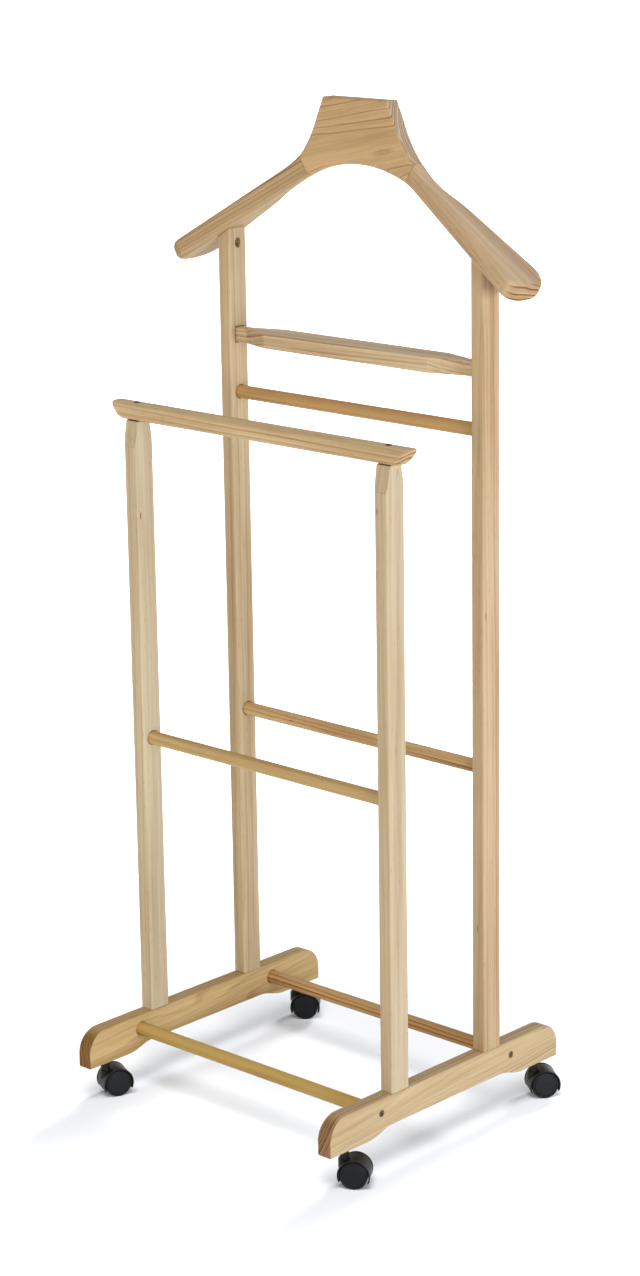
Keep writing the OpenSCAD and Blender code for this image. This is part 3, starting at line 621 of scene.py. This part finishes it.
POST_WOOD = {
    "left_front": dict(grain=(0.012, -0.008, 1), origin=(-SIDE_X - 40, -REAR_Y - 30, 400), seed=1.7,
                       ring=4.0, wobble=6, early="#D2C2A2", late="#A58662", lines=0.5, specks=1.0),
    "right_front": dict(grain=(-0.010, 0.006, 1), origin=(SIDE_X - 45, -REAR_Y + 16, 400), seed=5.2,
                        ring=4.4, wobble=7, early="#CCB99A", late="#A0825D", lines=0.5, specks=0.8),
    "left_rear": dict(grain=(0.018, 0.014, 1), origin=(-SIDE_X + 34, REAR_Y - 34, 700), seed=9.4, ring=4.6,
                      wobble=9, early="#D3BD98", late="#997046", lines=0.65, streaks=0.4, specks=0.8),
    "right_rear": dict(grain=(0.010, -0.006, 1), origin=(SIDE_X + 10, REAR_Y - 40, 500), seed=12.9, ring=5.0,
                       wobble=9, early="#CCB38F", late="#9C7246", lines=0.6, streaks=0.6, specks=0.8),
}
ARM_ANGLE = 31.9
CA, SA, TA = cos(radians(ARM_ANGLE)), sin(radians(ARM_ANGLE)), tan(radians(ARM_ANGLE))
ARM_T, RIDGE_Z, JOINT_X = 21.0, HANGER_TOP - 15.8, 74.5
POST_LOW, POST_BAND = FOOT_TOP + 60, 6  # plain lengths at a post's two ends
FRONT_SEAM_SHADE, REAR_SEAM_SHADE, ARM_SEAM_SHADE = 1.0, 1.2, 0.9  # how far the painted shade of a seam reaches
MORTISE_PLAY_W, MORTISE_PLAY_H, MORTISE_R = 2.0, 1.8, 0.6
POCKET_ANGLE, POCKET_DROP = 48.0, 17.5
POCKET = [(0, -14), (4.3, -14), (4.3, 7), (2.2, 9), (2.2, 12), (0, 12)]


def arm_over(x):
    return RIDGE_Z - TA * x


def arm_under(x):
    return arm_over(x) - ARM_T / CA


def make_post(label, end):
    """A post: bevelled at the top in front, cut to the slope of the hanger's arm at the rear."""
    side, y0, name = SIDES[label], ENDS[end] * REAR_Y, label + "_" + end
    ring = section(POST_W, POST_D, POST_R)
    small = section(POST_W - 2 * POST_EASE, POST_D - 2 * POST_EASE, POST_R - POST_EASE)

    def level(z, points=ring):
        return [(x, y, z) for x, y in points]

    rows = [level(FOOT_TOP + SEAM, small), level(FOOT_TOP + POST_EASE), level(POST_LOW)]
    if end == "front":
        z0 = FRONT_POST_TOP - BEVEL_L
        rows += [level(z) for z in spread(POST_LOW, z0, 14)[1:-1] + [z0 - 2 * SEAM]]
        for z in spread(z0, FRONT_POST_TOP, 24):
            limit = POST_D / 2 - BEVEL_STEP - (BEVEL_IN - BEVEL_STEP) * (z - z0) / BEVEL_L
            rows.append([(x, max(-limit, min(limit, y)), z - SEAM) for x, y in ring])
        # painted contact shade on the post's top, under the front rail
        seam = ((0, 0, FRONT_POST_TOP), (0, 0, 1), FRONT_SEAM_SHADE)
    else:
        top = [arm_under(SIDE_X + side * x) for x, y in ring]
        rows += [level(z) for z in spread(POST_LOW, min(top) - POST_BAND, 16)[1:]]
        rows.append([(x, y, t - POST_EASE) for (x, y), t in zip(ring, top)])
        rows.append([(x, y, t - SEAM) for (x, y), t in zip(small, top)])
        # painted contact shade on the post's top, under the hanger arm
        seam = ((side * SIDE_X, y0, arm_under(SIDE_X)), (side * SA, 0, CA), REAR_SEAM_SHADE)
    timber = wood(f"pine_{name}_post", side=(1, 0, 0), shade_at=seam, **POST_WOOD[name])
    post = piece(f"{name}_post_timber", *loft(rows, (side * SIDE_X, y0, 0)), "pine", timber,
                 nodes=[f"{name}_post"])
    xs = sorted((side * (INNER_X - OUT), side * (INNER_X + HOLE_L)))
    tools = [dowel_hole(xs, y0, MID_DOWEL_Z)]
    if end == "rear":
        tools.append(dowel_hole(xs, y0, UPPER_DOWEL_Z))
        box = section(TENON_W + MORTISE_PLAY_W, REAR_RAIL_T + MORTISE_PLAY_H, MORTISE_R, steps=3)
        zc = REAR_RAIL_TOP - REAR_RAIL_T / 2
        tools.append(solid(*loft([[(x, u, v) for u, v in box] for x in xs], (0, y0, zc))))
        # slanted pocket with its screw
        turn = Matrix.Rotation(radians(side * POCKET_ANGLE), 4, "Y")
        mouth = at(side * INNER_X, y0, arm_under(INNER_X) - POCKET_DROP, turn)
        tools.append(solid(*lathe(POCKET, 40), place=mouth))

    def on_bevel(f):
        return abs(f.normal.x) < 0.04 and 0.1 < f.normal.z < 0.3

    return done(combine(post, tools, "DIFFERENCE"), crease=on_bevel if end == "front" else None)


# ---- rails

RAIL_HOLE_R = 3.95
RAIL_HOLE = [(0, -9), (2.2, -9), (2.2, -7.8), (RAIL_HOLE_R, -6.0), (RAIL_HOLE_R, 2), (0, 2)]
HOLE_SHADE_RIM = 0.5  # below the rail's top, where the screw hole's wall, painted dark as shade, starts
RAIL_END_L = 30  # the straight part starts this far from each end


def make_front_rail():
    """The trouser rail: rounded all along, with undercut ends and a screw hole over each post."""
    half, zc, top = OUTER_X + RAIL_OVER, FRONT_POST_TOP + RAIL_H / 2, FRONT_POST_TOP + RAIL_H

    def end_row(a, sign):
        inset, pull = RAIL_END_R * (1 - sin(a)), RAIL_END_R * 1.3 * (1 - cos(a))
        points = section(RAIL_D - 2 * inset, RAIL_H - 2 * inset, RAIL_R - inset, steps=10)
        return [(sign * (half - pull - RAIL_CUT * (RAIL_H / 2 - z) / RAIL_H), y, z) for y, z in points]

    start = -half + RAIL_END_L
    rows = [end_row(a, -1) for a in quarter(6)]
    rows += [[(x, y, z) for y, z in section(RAIL_D, RAIL_H, RAIL_R, steps=10)]
             for x in spread(start, -start, 20)]
    rows += [end_row(a, 1) for a in reversed(quarter(6))]
    timber = wood("pine_front_rail", grain=(1, 0.004, -0.006), origin=(0, -REAR_Y + 4, zc - 26), seed=4.4,
                  ring=5.2, early="#E0C89F", late="#A07549", lines=0.95, streaks=0.7, specks=0.8, end=0.7,
                  end_tint="#CFA877")
    rail = piece("front_rail_timber", *loft(rows, (0, -REAR_Y, zc)), "dowel_wood", timber,
                 nodes=["front_top_rail"])
    holes = [solid(*lathe(RAIL_HOLE, 48), place=at(side * SIDE_X, -REAR_Y, top)) for side in (-1, 1)]
    combine(rail, holes, "DIFFERENCE")
    # the screw holes' walls below the rim get a near-black wood: painted shade inside the recess
    rail.data.materials.append(wood("pine_screw_hole_painted_shade", grain=(1, 0, 0), origin=(0, 0, 0), seed=1.0,
                                    early="#3A2817", late="#22160C", end=0.0))
    for face in rail.data.polygons:
        x, y, z = face.center / MM
        if sqrt((abs(x) - SIDE_X) ** 2 + (y + REAR_Y) ** 2) < RAIL_HOLE_R + SEAM and z < top - HOLE_SHADE_RIM:
            face.material_index = 1
    return done(rail)


def make_rear_rail():
    """The flat rail: it tapers to a neck and a tenon at each end."""
    wide, narrow = REAR_RAIL_D / 2, TENON_W / 2
    x_end, x_neck = INNER_X + PLUG_L, INNER_X - TENON_NECK
    x_wide = x_neck - REAR_TAPER
    right = [(x_wide, -wide), (x_neck, -narrow), (x_end, -narrow),
             (x_end, narrow), (x_neck, narrow), (x_wide, wide)]
    left = [(-x, -y) for x, y in right]
    outline = fillet(right + left, [WIDE_R, NECK_R, 0, 0, NECK_R, WIDE_R] * 2, steps=4)
    verts, faces = slab(outline, REAR_RAIL_TOP - REAR_RAIL_T, REAR_RAIL_TOP, REAR_RAIL_EDGE_R)
    verts = [(x, y + REAR_Y, z) for x, y, z in verts]
    timber = wood("pine_rear_rail", grain=(1, 0.01, 0.012), origin=(40, REAR_Y + 14, REAR_RAIL_TOP + 38),
                  seed=6.3, ring=4.0, wobble=8, early="#E2CBA9", late="#9F7948", lines=1.0, specks=0.6,
                  end=1.0, end_tint="#B58C5C")
    return done(piece("rear_rail_board", verts, faces, "pine", timber, nodes=["rear_top_rail"]))


# ---- dowels

# where each dowel's axis lies (y, z), half its free length, and its pith line from that axis (y, z)
DOWELS = {
    "rear_upper_dowel": dict(axis=(REAR_Y, UPPER_DOWEL_Z), seed=2.2, ring=3.2,
                             early="#D0A870", late="#A67941", lines=0.7, streaks=0.9, pith=(6, -26)),
    "front_mid_dowel": dict(axis=(-REAR_Y, MID_DOWEL_Z), seed=7.5, ring=3.0,
                            early="#D4B987", late="#B08C55", lines=0.6, streaks=0.8, pith=(-14, 24)),
    "rear_mid_dowel": dict(axis=(REAR_Y, MID_DOWEL_Z), seed=3.9, ring=3.4,
                           early="#E3C28E", late="#976937", lines=0.9, streaks=0.9, pith=(7, -24)),
    "front_bottom_dowel": dict(axis=(-LOW_DOWEL_Y, LOW_DOWEL_Z), half=FOOT_INNER_X, seed=11.1, ring=3.6,
                               early="#CDAE67", late="#A48141", lines=0.6, streaks=1.3, pith=(12, 30)),
    "rear_bottom_dowel": dict(axis=(LOW_DOWEL_Y, LOW_DOWEL_Z), half=FOOT_INNER_X, seed=14.8, ring=4.0,
                              early="#D5AF7B", late="#936434", lines=1.6, streaks=0.5, pith=(5, -30)),
}


def make_dowel(name, axis, pith, seed, half=INNER_X, **look):
    """A turned dowel, very slightly out of round, with eased ends inside its holes."""
    (y, z), n, steps = axis, 64, 24
    end, r = half + PLUG_L, DOWEL_D / 2
    inner = end - DOWEL_EASE
    rows = [(-end, r - DOWEL_EASE), (-inner, r)]
    rows += [(x, r - OUT_OF_ROUND * (1 + cos(i * 1.7 + seed)))
             for i, x in enumerate(spread(-inner, inner, steps)[1:-1], start=1)]
    rows += [(inner, r), (end, r - DOWEL_EASE)]
    rings = [[(x, r * cos(2 * pi * k / n), r * sin(2 * pi * k / n)) for k in range(n)] for x, r in rows]
    timber = wood("wood_" + name, grain=(1, 0.002, -0.003), origin=(0, y + pith[0], z + pith[1]), seed=seed,
                  wobble=2.0, end=0.8, **look)
    return done(piece(name + "_rod", *loft(rings, (0, y, z)), "dowel_wood", timber, nodes=[name]))


# ---- hanger

BLOCK_TOP_W, BLOCK_T, BLOCK_Y0 = 91.0, 17.0, REAR_Y + 3.4
BLOCK_Y1 = BLOCK_Y0 + BLOCK_T
SIDE_LEAN, SIDE_R, ARCH_R = radians(24.5), 120.0, 161.0
CORNER_DROP, CORNER_IN = 0.8, 0.9
ARM_L, TIP_D, TIP_BACK, FRONT_R, BACK_R = 203.3, 55.4, 3.5, 18.5, 29.0
WAIST, WAIST_L, ARM_EDGE, TIP_EDGE, BLOCK_EDGE = 4.0, 75.0, 6.0, 9.5, 1.5
GROOVE, GROOVE_L = 0.22, 0.35  # the fine line where an arm meets the block
EDGE_TURNS = 8
JOINT_Z = (arm_over(JOINT_X) + arm_under(JOINT_X)) / 2


# an arm's own axes: s along it from the joint, n across it
def to_xz(s, n):
    return JOINT_X + s * CA + n * SA, JOINT_Z - s * SA + n * CA


def to_s(x, z):
    return (x - JOINT_X) * CA - (z - JOINT_Z) * SA


# the block's leaning side meets the top of the arm in a hollow curve; an arch joins the undersides
TURN = pi / 2 - radians(ARM_ANGLE) - SIDE_LEAN
MEET_Z = (HANGER_TOP * tan(SIDE_LEAN) + BLOCK_TOP_W / 2 - RIDGE_Z / TA) / (tan(SIDE_LEAN) - 1 / TA)
MEET_X = BLOCK_TOP_W / 2 + (HANGER_TOP - MEET_Z) * tan(SIDE_LEAN)
SIDE_RUN = SIDE_R * tan(TURN / 2)
SIDE_X0 = MEET_X + SIDE_RUN * CA + SIDE_R * SA
SIDE_Z0 = MEET_Z - SIDE_RUN * SA + SIDE_R * CA
SIDE_S0 = to_s(SIDE_X0, SIDE_Z0)
ARCH_Z0 = arm_under(0) - ARCH_R / CA
ARCH_S0 = to_s(0, ARCH_Z0)


def over_n(s):
    return ARM_T / 2 if s >= SIDE_S0 else ARM_T / 2 + SIDE_R - sqrt(SIDE_R ** 2 - (s - SIDE_S0) ** 2)


def under_n(s):
    return -ARM_T / 2 if s >= ARCH_S0 else -ARM_T / 2 - ARCH_R + sqrt(ARCH_R ** 2 - (s - ARCH_S0) ** 2)


def make_block():
    """The centre block: its outline is rounded over front and back, more so towards the arms."""
    over, under = to_xz(0, over_n(0)), to_xz(0, under_n(0))
    start = atan2(over[1] - SIDE_Z0, over[0] - SIDE_X0) + 2 * pi
    arch_from = atan2(under[1] - ARCH_Z0, under[0])
    corner_w, lean = BLOCK_TOP_W / 2, (cos(SIDE_LEAN), sin(SIDE_LEAN))

    def edge_r(z):
        return BLOCK_EDGE + (ARM_EDGE - BLOCK_EDGE) * ((HANGER_TOP - z) / (HANGER_TOP - over[1])) ** 2

    # points of the outline: x, z, the way out (x, z) and the edge's radius
    upper = [(over[0], over[1], SA, CA, ARM_EDGE)]
    for a in spread(start, pi + SIDE_LEAN, 24)[1:]:
        z = SIDE_Z0 + SIDE_R * sin(a)
        upper.append((SIDE_X0 + SIDE_R * cos(a), z, -cos(a), -sin(a), edge_r(z)))
    # the rest of the leaning side, then the corner, eased, and the top edge
    foot_x, foot_z = upper[-1][:2]
    xs = spread(foot_x, corner_w + CORNER_DROP * lean[1], 4)[1:-1]
    zs = spread(foot_z, HANGER_TOP - CORNER_DROP, 4)[1:-1]
    upper += [(x, z, *lean, edge_r(z)) for x, z in zip(xs, zs)]
    upper.append((corner_w + 0.35, HANGER_TOP - CORNER_DROP, *lean, BLOCK_EDGE))
    upper.append((corner_w - 0.1, HANGER_TOP - 0.2, 0.75, 0.75, BLOCK_EDGE))
    upper.append((corner_w - CORNER_IN, HANGER_TOP, 0.2, 1.0, BLOCK_EDGE))
    upper += [(x, HANGER_TOP, 0.0, 1.0, BLOCK_EDGE) for x in spread(corner_w - CORNER_IN, 0.0, 5)[1:-1]]
    upper += [(-x, z, -nx, nz, r) for x, z, nx, nz, r in reversed(upper)]
    count = len(upper)
    lower = [(ARCH_R * cos(a), ARCH_Z0 + ARCH_R * sin(a), -cos(a), -sin(a), ARM_EDGE)
             for a in spread(arch_from, pi - arch_from, count - 1)]
    lower[0] = (under[0], under[1], -SA, -CA, ARM_EDGE)
    lower[-1] = (-under[0], under[1], SA, -CA, ARM_EDGE)
    line = upper + lower[::-1]
    n = len(line)
    angles = quarter(EDGE_TURNS)
    rings = [(a, BLOCK_Y0, 1) for a in angles] + [(a, BLOCK_Y1, -1) for a in reversed(angles)]
    verts = []
    for a, face, way in rings:
        for x, z, nx, nz, r in line:
            inset = r * (1 - sin(a))
            verts.append((x - nx * inset, face + way * r * (1 - cos(a)), z - nz * inset))
    faces = quilted(len(rings), n, [(k, k + 1, n - 2 - k, n - 1 - k) for k in range(count - 1)])
    timber = wood("pine_hanger_block", grain=(0.975, 0.03, 0.215), origin=(0, BLOCK_Y0 + 75, 1036),
                  seed=20.5, ring=3.9, wobble=9, early="#D5B488", late="#7F5529", lines=1.1, late_from=0.74,
                  soft=0.2, streaks=0.35, specks=0.6, end_tint="#C9B79C",
                  eye=((36, BLOCK_Y0, 1042), (72, 60, 14), 0.6))
    return done(piece("hanger_block_carved", verts, faces, "pine", timber, nodes=["hanger_block"]))


ARM_WOOD = {
    "left": dict(grain=(-CA, -0.17, -SA + 0.05), origin=(-150 - 62 * SA, BLOCK_Y0 - 30, 975 + 62 * CA),
                 seed=31.0, ring=4.6, late_from=0.68, wobble=9, early="#C2A67F", late="#78522A", lines=0.95,
                 soft=0.1, streaks=0.35, end=0.4, end_tint="#A98459"),
    # the right arm's slope lightens its front edge and darkens its top towards the rear: painted light and
    # shade against how the lamps fall on it
    "right": dict(grain=(CA, -0.06, -SA), origin=(150 - 55 * SA, BLOCK_Y0 - 12, 975 - 55 * CA),
                  seed=26.4, ring=4.6, late_from=0.66, wobble=10, early="#D2B693", late="#81582F",
                  lines=0.35, tone=(0.0, 0.016, 0.0), soft=0.15, streaks=0.35, end_tint="#C39D70"),
}


def make_arm(label):
    """A hanger arm: it widens forwards to a flat shoulder, with every long edge rounded."""
    side = SIDES[label]
    root_l = max(SIDE_S0, ARCH_S0, WAIST_L)
    front_y, back_y = BLOCK_Y1 + TIP_BACK - TIP_D, BLOCK_Y1 + TIP_BACK

    def front_edge(s):
        return BLOCK_Y0 + (front_y - BLOCK_Y0) * s / (ARM_L - FRONT_R)

    def rear_edge(s):
        hollow = WAIST * (1 - cos(2 * pi * s / WAIST_L)) / 2 if s < WAIST_L else 0
        return BLOCK_Y1 + TIP_BACK * s / (ARM_L - BACK_R) - hollow

    # the plan view: a point (s, y) of the front edge, one of the rear edge, and the way out
    plan = [(s, front_edge(s), s, rear_edge(s), 0.0, 1.0)
            for s in [0.0, GROOVE_L] + spread(0.0, root_l, 40)[1:]]
    plan += [(ARM_L - FRONT_R + FRONT_R * sin(a), front_y + FRONT_R * (1 - cos(a)),
              ARM_L - BACK_R + BACK_R * sin(a), back_y - BACK_R * (1 - cos(a)), sin(a), cos(a))
             for a in quarter(16)]
    m = len(plan)

    def ring(a, way):
        out = []
        for i in range(2 * m):
            front = i < m
            p = plan[i if front else 2 * m - 1 - i]
            groove = GROOVE if p[0] == 0.0 else 0.0
            edge = ARM_EDGE + (TIP_EDGE - ARM_EDGE) * p[4] ** 2
            inset, lift = edge * (1 - sin(a)), edge * (1 - cos(a))
            s = p[0] if front else p[2]
            y = p[1] + p[5] * inset + groove if front else p[3] - p[5] * inset - groove
            n = over_n(s) - lift - groove if way > 0 else under_n(s) + lift + groove
            x, z = to_xz(s - p[4] * inset, n)
            out.append((side * x, y, z))
        return out

    angles, n = quarter(EDGE_TURNS), 2 * m
    rows = [ring(a, -1) for a in angles] + [ring(a, 1) for a in reversed(angles)]
    verts = [v for row in rows for v in row]
    faces = quilted(len(rows), n, [(k, n - 1 - k, n - 2 - k, k + 1) for k in range(m - 1)])
    joint = (side * JOINT_X, BLOCK_Y0, JOINT_Z)
    # painted contact shade where the arm meets the block
    timber = wood(f"pine_{label}_arm", shade_at=(joint, (side * CA, 0, -SA), ARM_SEAM_SHADE),
                  **ARM_WOOD[label])
    return done(piece(f"{label}_arm_carved", verts, faces, "pine", timber, nodes=[f"{label}_hanger_arm"]))


# ---- casters

TRAIL, WHEEL_R, WHEEL_W = 11.2, 15.0, 11.2
WEB_T, SIDE_GAP, HOOD_IN, HOOD_OUT = 3.6, 0.3, 16.0, 17.5
HOOD_TIP, WEB_TIP, WEB_HUB_R, WEB_LAP, WEB_EDGE_R = 25.0, 9.0, 6.0, 0.6, 0.2
HOOD_STEP, HOOD_PLAY, BEAD, BEAD_FOOT = 0.35, 0.25, 1.9, 2.3
WHEEL_IN = WEB_T / 2 + SIDE_GAP
WHEEL_OUT = WHEEL_IN + WHEEL_W
BOSS_D, BOSS_LOW, BOSS_FOOT, BOSS_TOP, BOSS_FLARE = 10.0, 20, 31.4, 38.8, 1.5
TURNS = {"front_left": 66.0, "front_right": 34.0, "rear_left": 41.0, "rear_right": 54.0}


def sector(profile, a0, a1, steps):
    """Sweeps a closed (axial, radial) profile about the axle, from one angle to another."""
    angles = spread(radians(a0), radians(a1), steps)
    return loft([[(r * cos(a), y, r * sin(a)) for y, r in profile] for a in angles])


def make_hood(label, place, material):
    """The hood: a thin shell with a bead along both rims, the web between the wheels, and the boss."""
    w, top = WHEEL_OUT, HOOD_OUT - HOOD_STEP
    shell = fillet([(-w, HOOD_IN), (-w, HOOD_OUT), (-w + BEAD, HOOD_OUT), (-w + BEAD_FOOT, top),
                    (w - BEAD_FOOT, top), (w - BEAD, HOOD_OUT), (w, HOOD_OUT), (w, HOOD_IN)],
                   [0.25, 0.5, 0.3, 0.2, 0.2, 0.3, 0.5, 0.25], 4)
    axle = place @ at(TRAIL, 0, WHEEL_R)
    verts, faces = sector(shell, -HOOD_TIP, 180 + HOOD_TIP, 72)
    hood = piece(f"{label}_hood_shell", verts, faces, "caster_plastic", material,
                 body=f"{label}_caster", nodes=[f"{label}_hood"], place=axle, sharp=40)
    web_r = HOOD_IN + WEB_LAP
    tip = radians(WEB_TIP)
    outline = [(web_r * cos(a), web_r * sin(a)) for a in spread(-tip, pi + tip, 40)]
    outline += [(-WEB_HUB_R * cos(a), -WEB_HUB_R * sin(a)) for a in spread(0, pi, 12)]
    web, web_faces = slab(outline, -WEB_T / 2, WEB_T / 2, WEB_EDGE_R, steps=2)
    r, flare = BOSS_D / 2, BOSS_FLARE
    boss = [(0, BOSS_LOW), (r + flare, BOSS_LOW)]
    boss += [(r + flare * (1 - sin(a)), BOSS_FOOT - flare * cos(a)) for a in quarter(5)]
    boss += [(r, BOSS_TOP - 0.6), (r - 0.2, BOSS_TOP - 0.15), (r - 0.7, BOSS_TOP), (0, BOSS_TOP)]
    stub = solid(*lathe(boss, 56), place=place)
    rooms = [solid(*tube(2 * (HOOD_IN + HOOD_PLAY), *ends, 96), place=axle @ ALONG_Y)
             for ends in ((WEB_T / 2, WHEEL_OUT + 3), (-WHEEL_OUT - 3, -WEB_T / 2))]
    combine(stub, rooms, "DIFFERENCE")
    web = solid([(x, t, z) for x, z, t in web], web_faces, place=axle)
    return done(combine(hood, [web, stub], "UNION"))


def wheel_mesh(material):
    """One wheel about Z: crowned tread, a rim ring, a groove and a slightly domed cover."""
    w, r = WHEEL_W, WHEEL_R
    back_r, rim_r, cover_r = 1.2, 1.1, r - 3.1
    profile = [(0, 0), (r - 2.6, 0), (r - 2.2, 0.25), (r - back_r, 0.3)]
    profile += [(r - back_r + back_r * sin(a), 0.3 + back_r - back_r * cos(a)) for a in quarter(5)]
    profile += [(r, w / 2), (r, w - 1.3)]
    profile += [(r - rim_r + rim_r * cos(a), w - 1.3 + rim_r * sin(a)) for a in quarter(5)[1:]]
    groove = [(r - 2.0, w - 0.2), (r - 2.25, w - 0.5), (r - 2.55, w - 0.75), (r - 2.85, w - 0.5)]
    cover = [(cover_r * cos(a), w - 0.45 + 0.35 * sin(a)) for a in quarter(10)[:-1]]
    dimple = [(2.0, w - 0.14), (1.7, w - 0.32), (1.2, w - 0.36), (0, w - 0.36)]
    mesh = closed_mesh("wheel", *lathe(profile + groove + cover + dimple, 96))
    mesh.materials.append(material)
    return mesh


def make_casters():
    hood_plastic = plastic("hood_plastic", "#12110E", "#1C1A16", scuffs=0.2)
    disc = wheel_mesh(plastic("wheel_disc_plastic", "#0D0E10", "#16181B", rough=0.50, scuffs=0.25))
    for end, y in ENDS.items():
        for label, x in SIDES.items():
            name = end + "_" + label
            place = at(x * SIDE_X, y * CASTER_Y, 0, Matrix.Rotation(radians(TURNS[name]), 4, "Z"))
            make_hood(name, place, hood_plastic)
            for which, way in (("outer", -1), ("inner", 1)):
                node = f"{name}_{which}_wheel"
                turn = Matrix.Rotation(-way * pi / 2, 4, "X")
                wheel = new_object(node + "_disc", disc, place @ at(TRAIL, way * WHEEL_IN, WHEEL_R, turn))
                PLANS[wheel.name] = ("wheel_plastic", node + "_body", 40, [node])
                done(wheel)


# ---- the object

for label in SIDES:
    make_foot(label)
    for end in ENDS:
        make_post(label, end)
make_front_rail()
make_rear_rail()
for name, spec in DOWELS.items():
    make_dowel(name, **spec)
make_block()
for label in SIDES:
    make_arm(label)
make_casters()

# nodes whose own shape is shown, with their material
SHOWN = {
    # a darkened copy of the screw steel: painted shade for the screws sunk in the hanger's pockets and the
    # rail's holes
    metal("screw_steel_painted_shade", "#3A3128", "#241E18", rough=0.5): ["hanger_screws", "front_rail_screws"],
    metal("screw_steel_dark", "#7D6B55", "#463B2F", rough=0.36): ["foot_side_screws", "post_base_screws"],
    plastic("sleeve_plastic", "#191917", "#262622"): ["caster_sleeves"],
    wood("pin_wood", grain=(1, 0, 0), origin=(0, 60, 1000), seed=40.0, early="#D2A768", late="#A8783C"): [
        "hanger_joint_pins"],
    metal("stem_steel", "#8E8E90", "#6E6E72"): [
        f"{end}_{label}_{part}" for end in ENDS for label in SIDES for part in ("stem", "axle")],
}
for material, names in SHOWN.items():
    for name in names:
        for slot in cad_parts[name].material_slots:
            slot.material = material

# ---- floor, light and camera

FLOOR_HALF = 30.0
FLOOR_TINT, FLOOR_LIT = (0.45, 0.45, 0.45, 1), (0.69, 0.735, 0.81, 1)  # to the lamps, to the camera
GLOW_TINT, GLOW_FROM, GLOW_FULL, GLOW_LEAST = (0.98, 0.99, 1.0, 1), 0.25, 0.75, 0.08
FILL_TINT, FILL, WHITE = (1.04, 1.0, 0.92, 1), 0.18, (1, 1, 1, 1)
LAMP_AIM = (0, 0, 0.55)
SOFTBOXES = {
    "right_softbox": dict(where=(4.5, -0.7, 0.75), size=(2.6, 1.3), power=146.0, tint=(0.94, 1.0, 1.10)),
    "front_softbox": dict(where=(-0.6, -4.2, 0.8), size=(2.4, 1.3), power=40.0, tint=(1.12, 0.975, 0.72)),
}
FLOOR_SUN_TINT = (1.03, 1.0, 0.97)
SUNS = {
    "overhead": dict(toward=(0.30, -0.35, 1.0), spread=34, level=0.195, tint=(1.06, 0.99, 0.86)),
    "from_behind": dict(toward=(-0.22, 1.0, 0.5), spread=18, level=0.06),
    "floor_key": dict(toward=(0.28, -0.40, 1.0), spread=32, level=0.58, tint=FLOOR_SUN_TINT, only=True),
    "floor_tail": dict(toward=(-0.22, 1.0, 0.5), spread=16, level=0.33, tint=FLOOR_SUN_TINT, only=True),
}
CAMERA_AT = (2.27366, -2.41199, 1.42265)
CAMERA_TURNS = (43.151, 15.111, -0.888)  # azimuth, elevation and roll, in degrees
LENS, SENSOR, CLIP_NEAR, CLIP_FAR = 90.24, 36.0, 0.05, 120.0


def floor_material():
    """A plain pale floor: white to the camera where it is lit, with soft cool shadows."""
    material = bpy.data.materials.new("floor_white")
    g = blank(material)
    plain = g.add("BsdfDiffuse", {"Color": FLOOR_TINT})
    bright = g.add("BsdfDiffuse", {"Color": FLOOR_LIT})
    away = g.vector("LENGTH", g.here())
    glow = g.ramp(away, GLOW_FROM, GLOW_FULL, GLOW_LEAST, 1.0)
    glow = g.add("Emission", {"Color": GLOW_TINT, "Strength": glow})
    both = g.add("AddShader", {0: bright.outputs[0], 1: glow.outputs[0]})
    out = g.add("MixShader", {0: g.seen(), 1: plain.outputs[0], 2: both.outputs[0]})
    g.add("OutputMaterial", {"Surface": out.outputs[0]})
    return material


def make_floor():
    h = FLOOR_HALF
    mesh = bpy.data.meshes.new("studio_floor")
    mesh.from_pydata([(-h, -h, 0), (h, -h, 0), (h, h, 0), (-h, h, 0)], [], [(0, 1, 2, 3)])
    mesh.materials.append(floor_material())
    obj = new_object("studio_floor", mesh)
    return obj


def make_world():
    world = bpy.data.worlds.new("studio")
    bpy.context.scene.world = world
    g = blank(world)
    light = g.add("Background", {"Color": FILL_TINT, "Strength": FILL})
    white = g.add("Background", {"Color": WHITE, "Strength": 1.0})
    out = g.add("MixShader", {0: g.seen(), 1: light.outputs[0], 2: white.outputs[0]})
    g.add("OutputWorld", {"Surface": out.outputs[0]})


def lamp(name, kind, energy, tint, way):
    """A lamp that shines along a way."""
    data = bpy.data.lights.new(name, kind)
    data.energy = energy
    data.color = tint
    obj = new_object(name, data)
    obj.rotation_mode = "QUATERNION"
    obj.rotation_quaternion = way.to_track_quat("-Z", "Y")
    return obj


def softbox(name, where, size, power, tint):
    obj = lamp(name, "AREA", power, tint, Vector(LAMP_AIM) - Vector(where))
    obj.data.shape = "RECTANGLE"
    obj.data.size, obj.data.size_y = size
    obj.location = where


def sun(name, toward, spread, level, tint=(1, 1, 1), only=False):
    """A distant soft light; level is what it gives a surface that faces straight up."""
    way = Vector(toward).normalized()
    obj = lamp(name, "SUN", pi * level / way.z, tint, -way)
    obj.data.angle = radians(spread)
    if only:
        lit = bpy.data.collections.new(name + "_receivers")
        lit.objects.link(floor)
        obj.light_linking.receiver_collection = lit


def make_camera():
    """Camera at the photograph's viewing angle; the picture is 640 by 1276."""
    azimuth, elevation, roll = (radians(a) for a in CAMERA_TURNS)
    data = bpy.data.cameras.new("camera")
    data.sensor_width = SENSOR
    data.lens = LENS
    data.clip_start, data.clip_end = CLIP_NEAR, CLIP_FAR
    turned = (Matrix.Rotation(azimuth, 4, "Z") @ Matrix.Rotation(pi / 2 - elevation, 4, "X")
              @ Matrix.Rotation(roll, 4, "Z"))
    bpy.context.scene.camera = new_object("camera", data, Matrix.Translation(CAMERA_AT) @ turned)


floor = make_floor()
make_world()
for name, spec in SOFTBOXES.items():
    softbox(name, **spec)
for name, spec in SUNS.items():
    sun(name, **spec)
make_camera()
bpy.context.scene.view_settings.view_transform = "Standard"
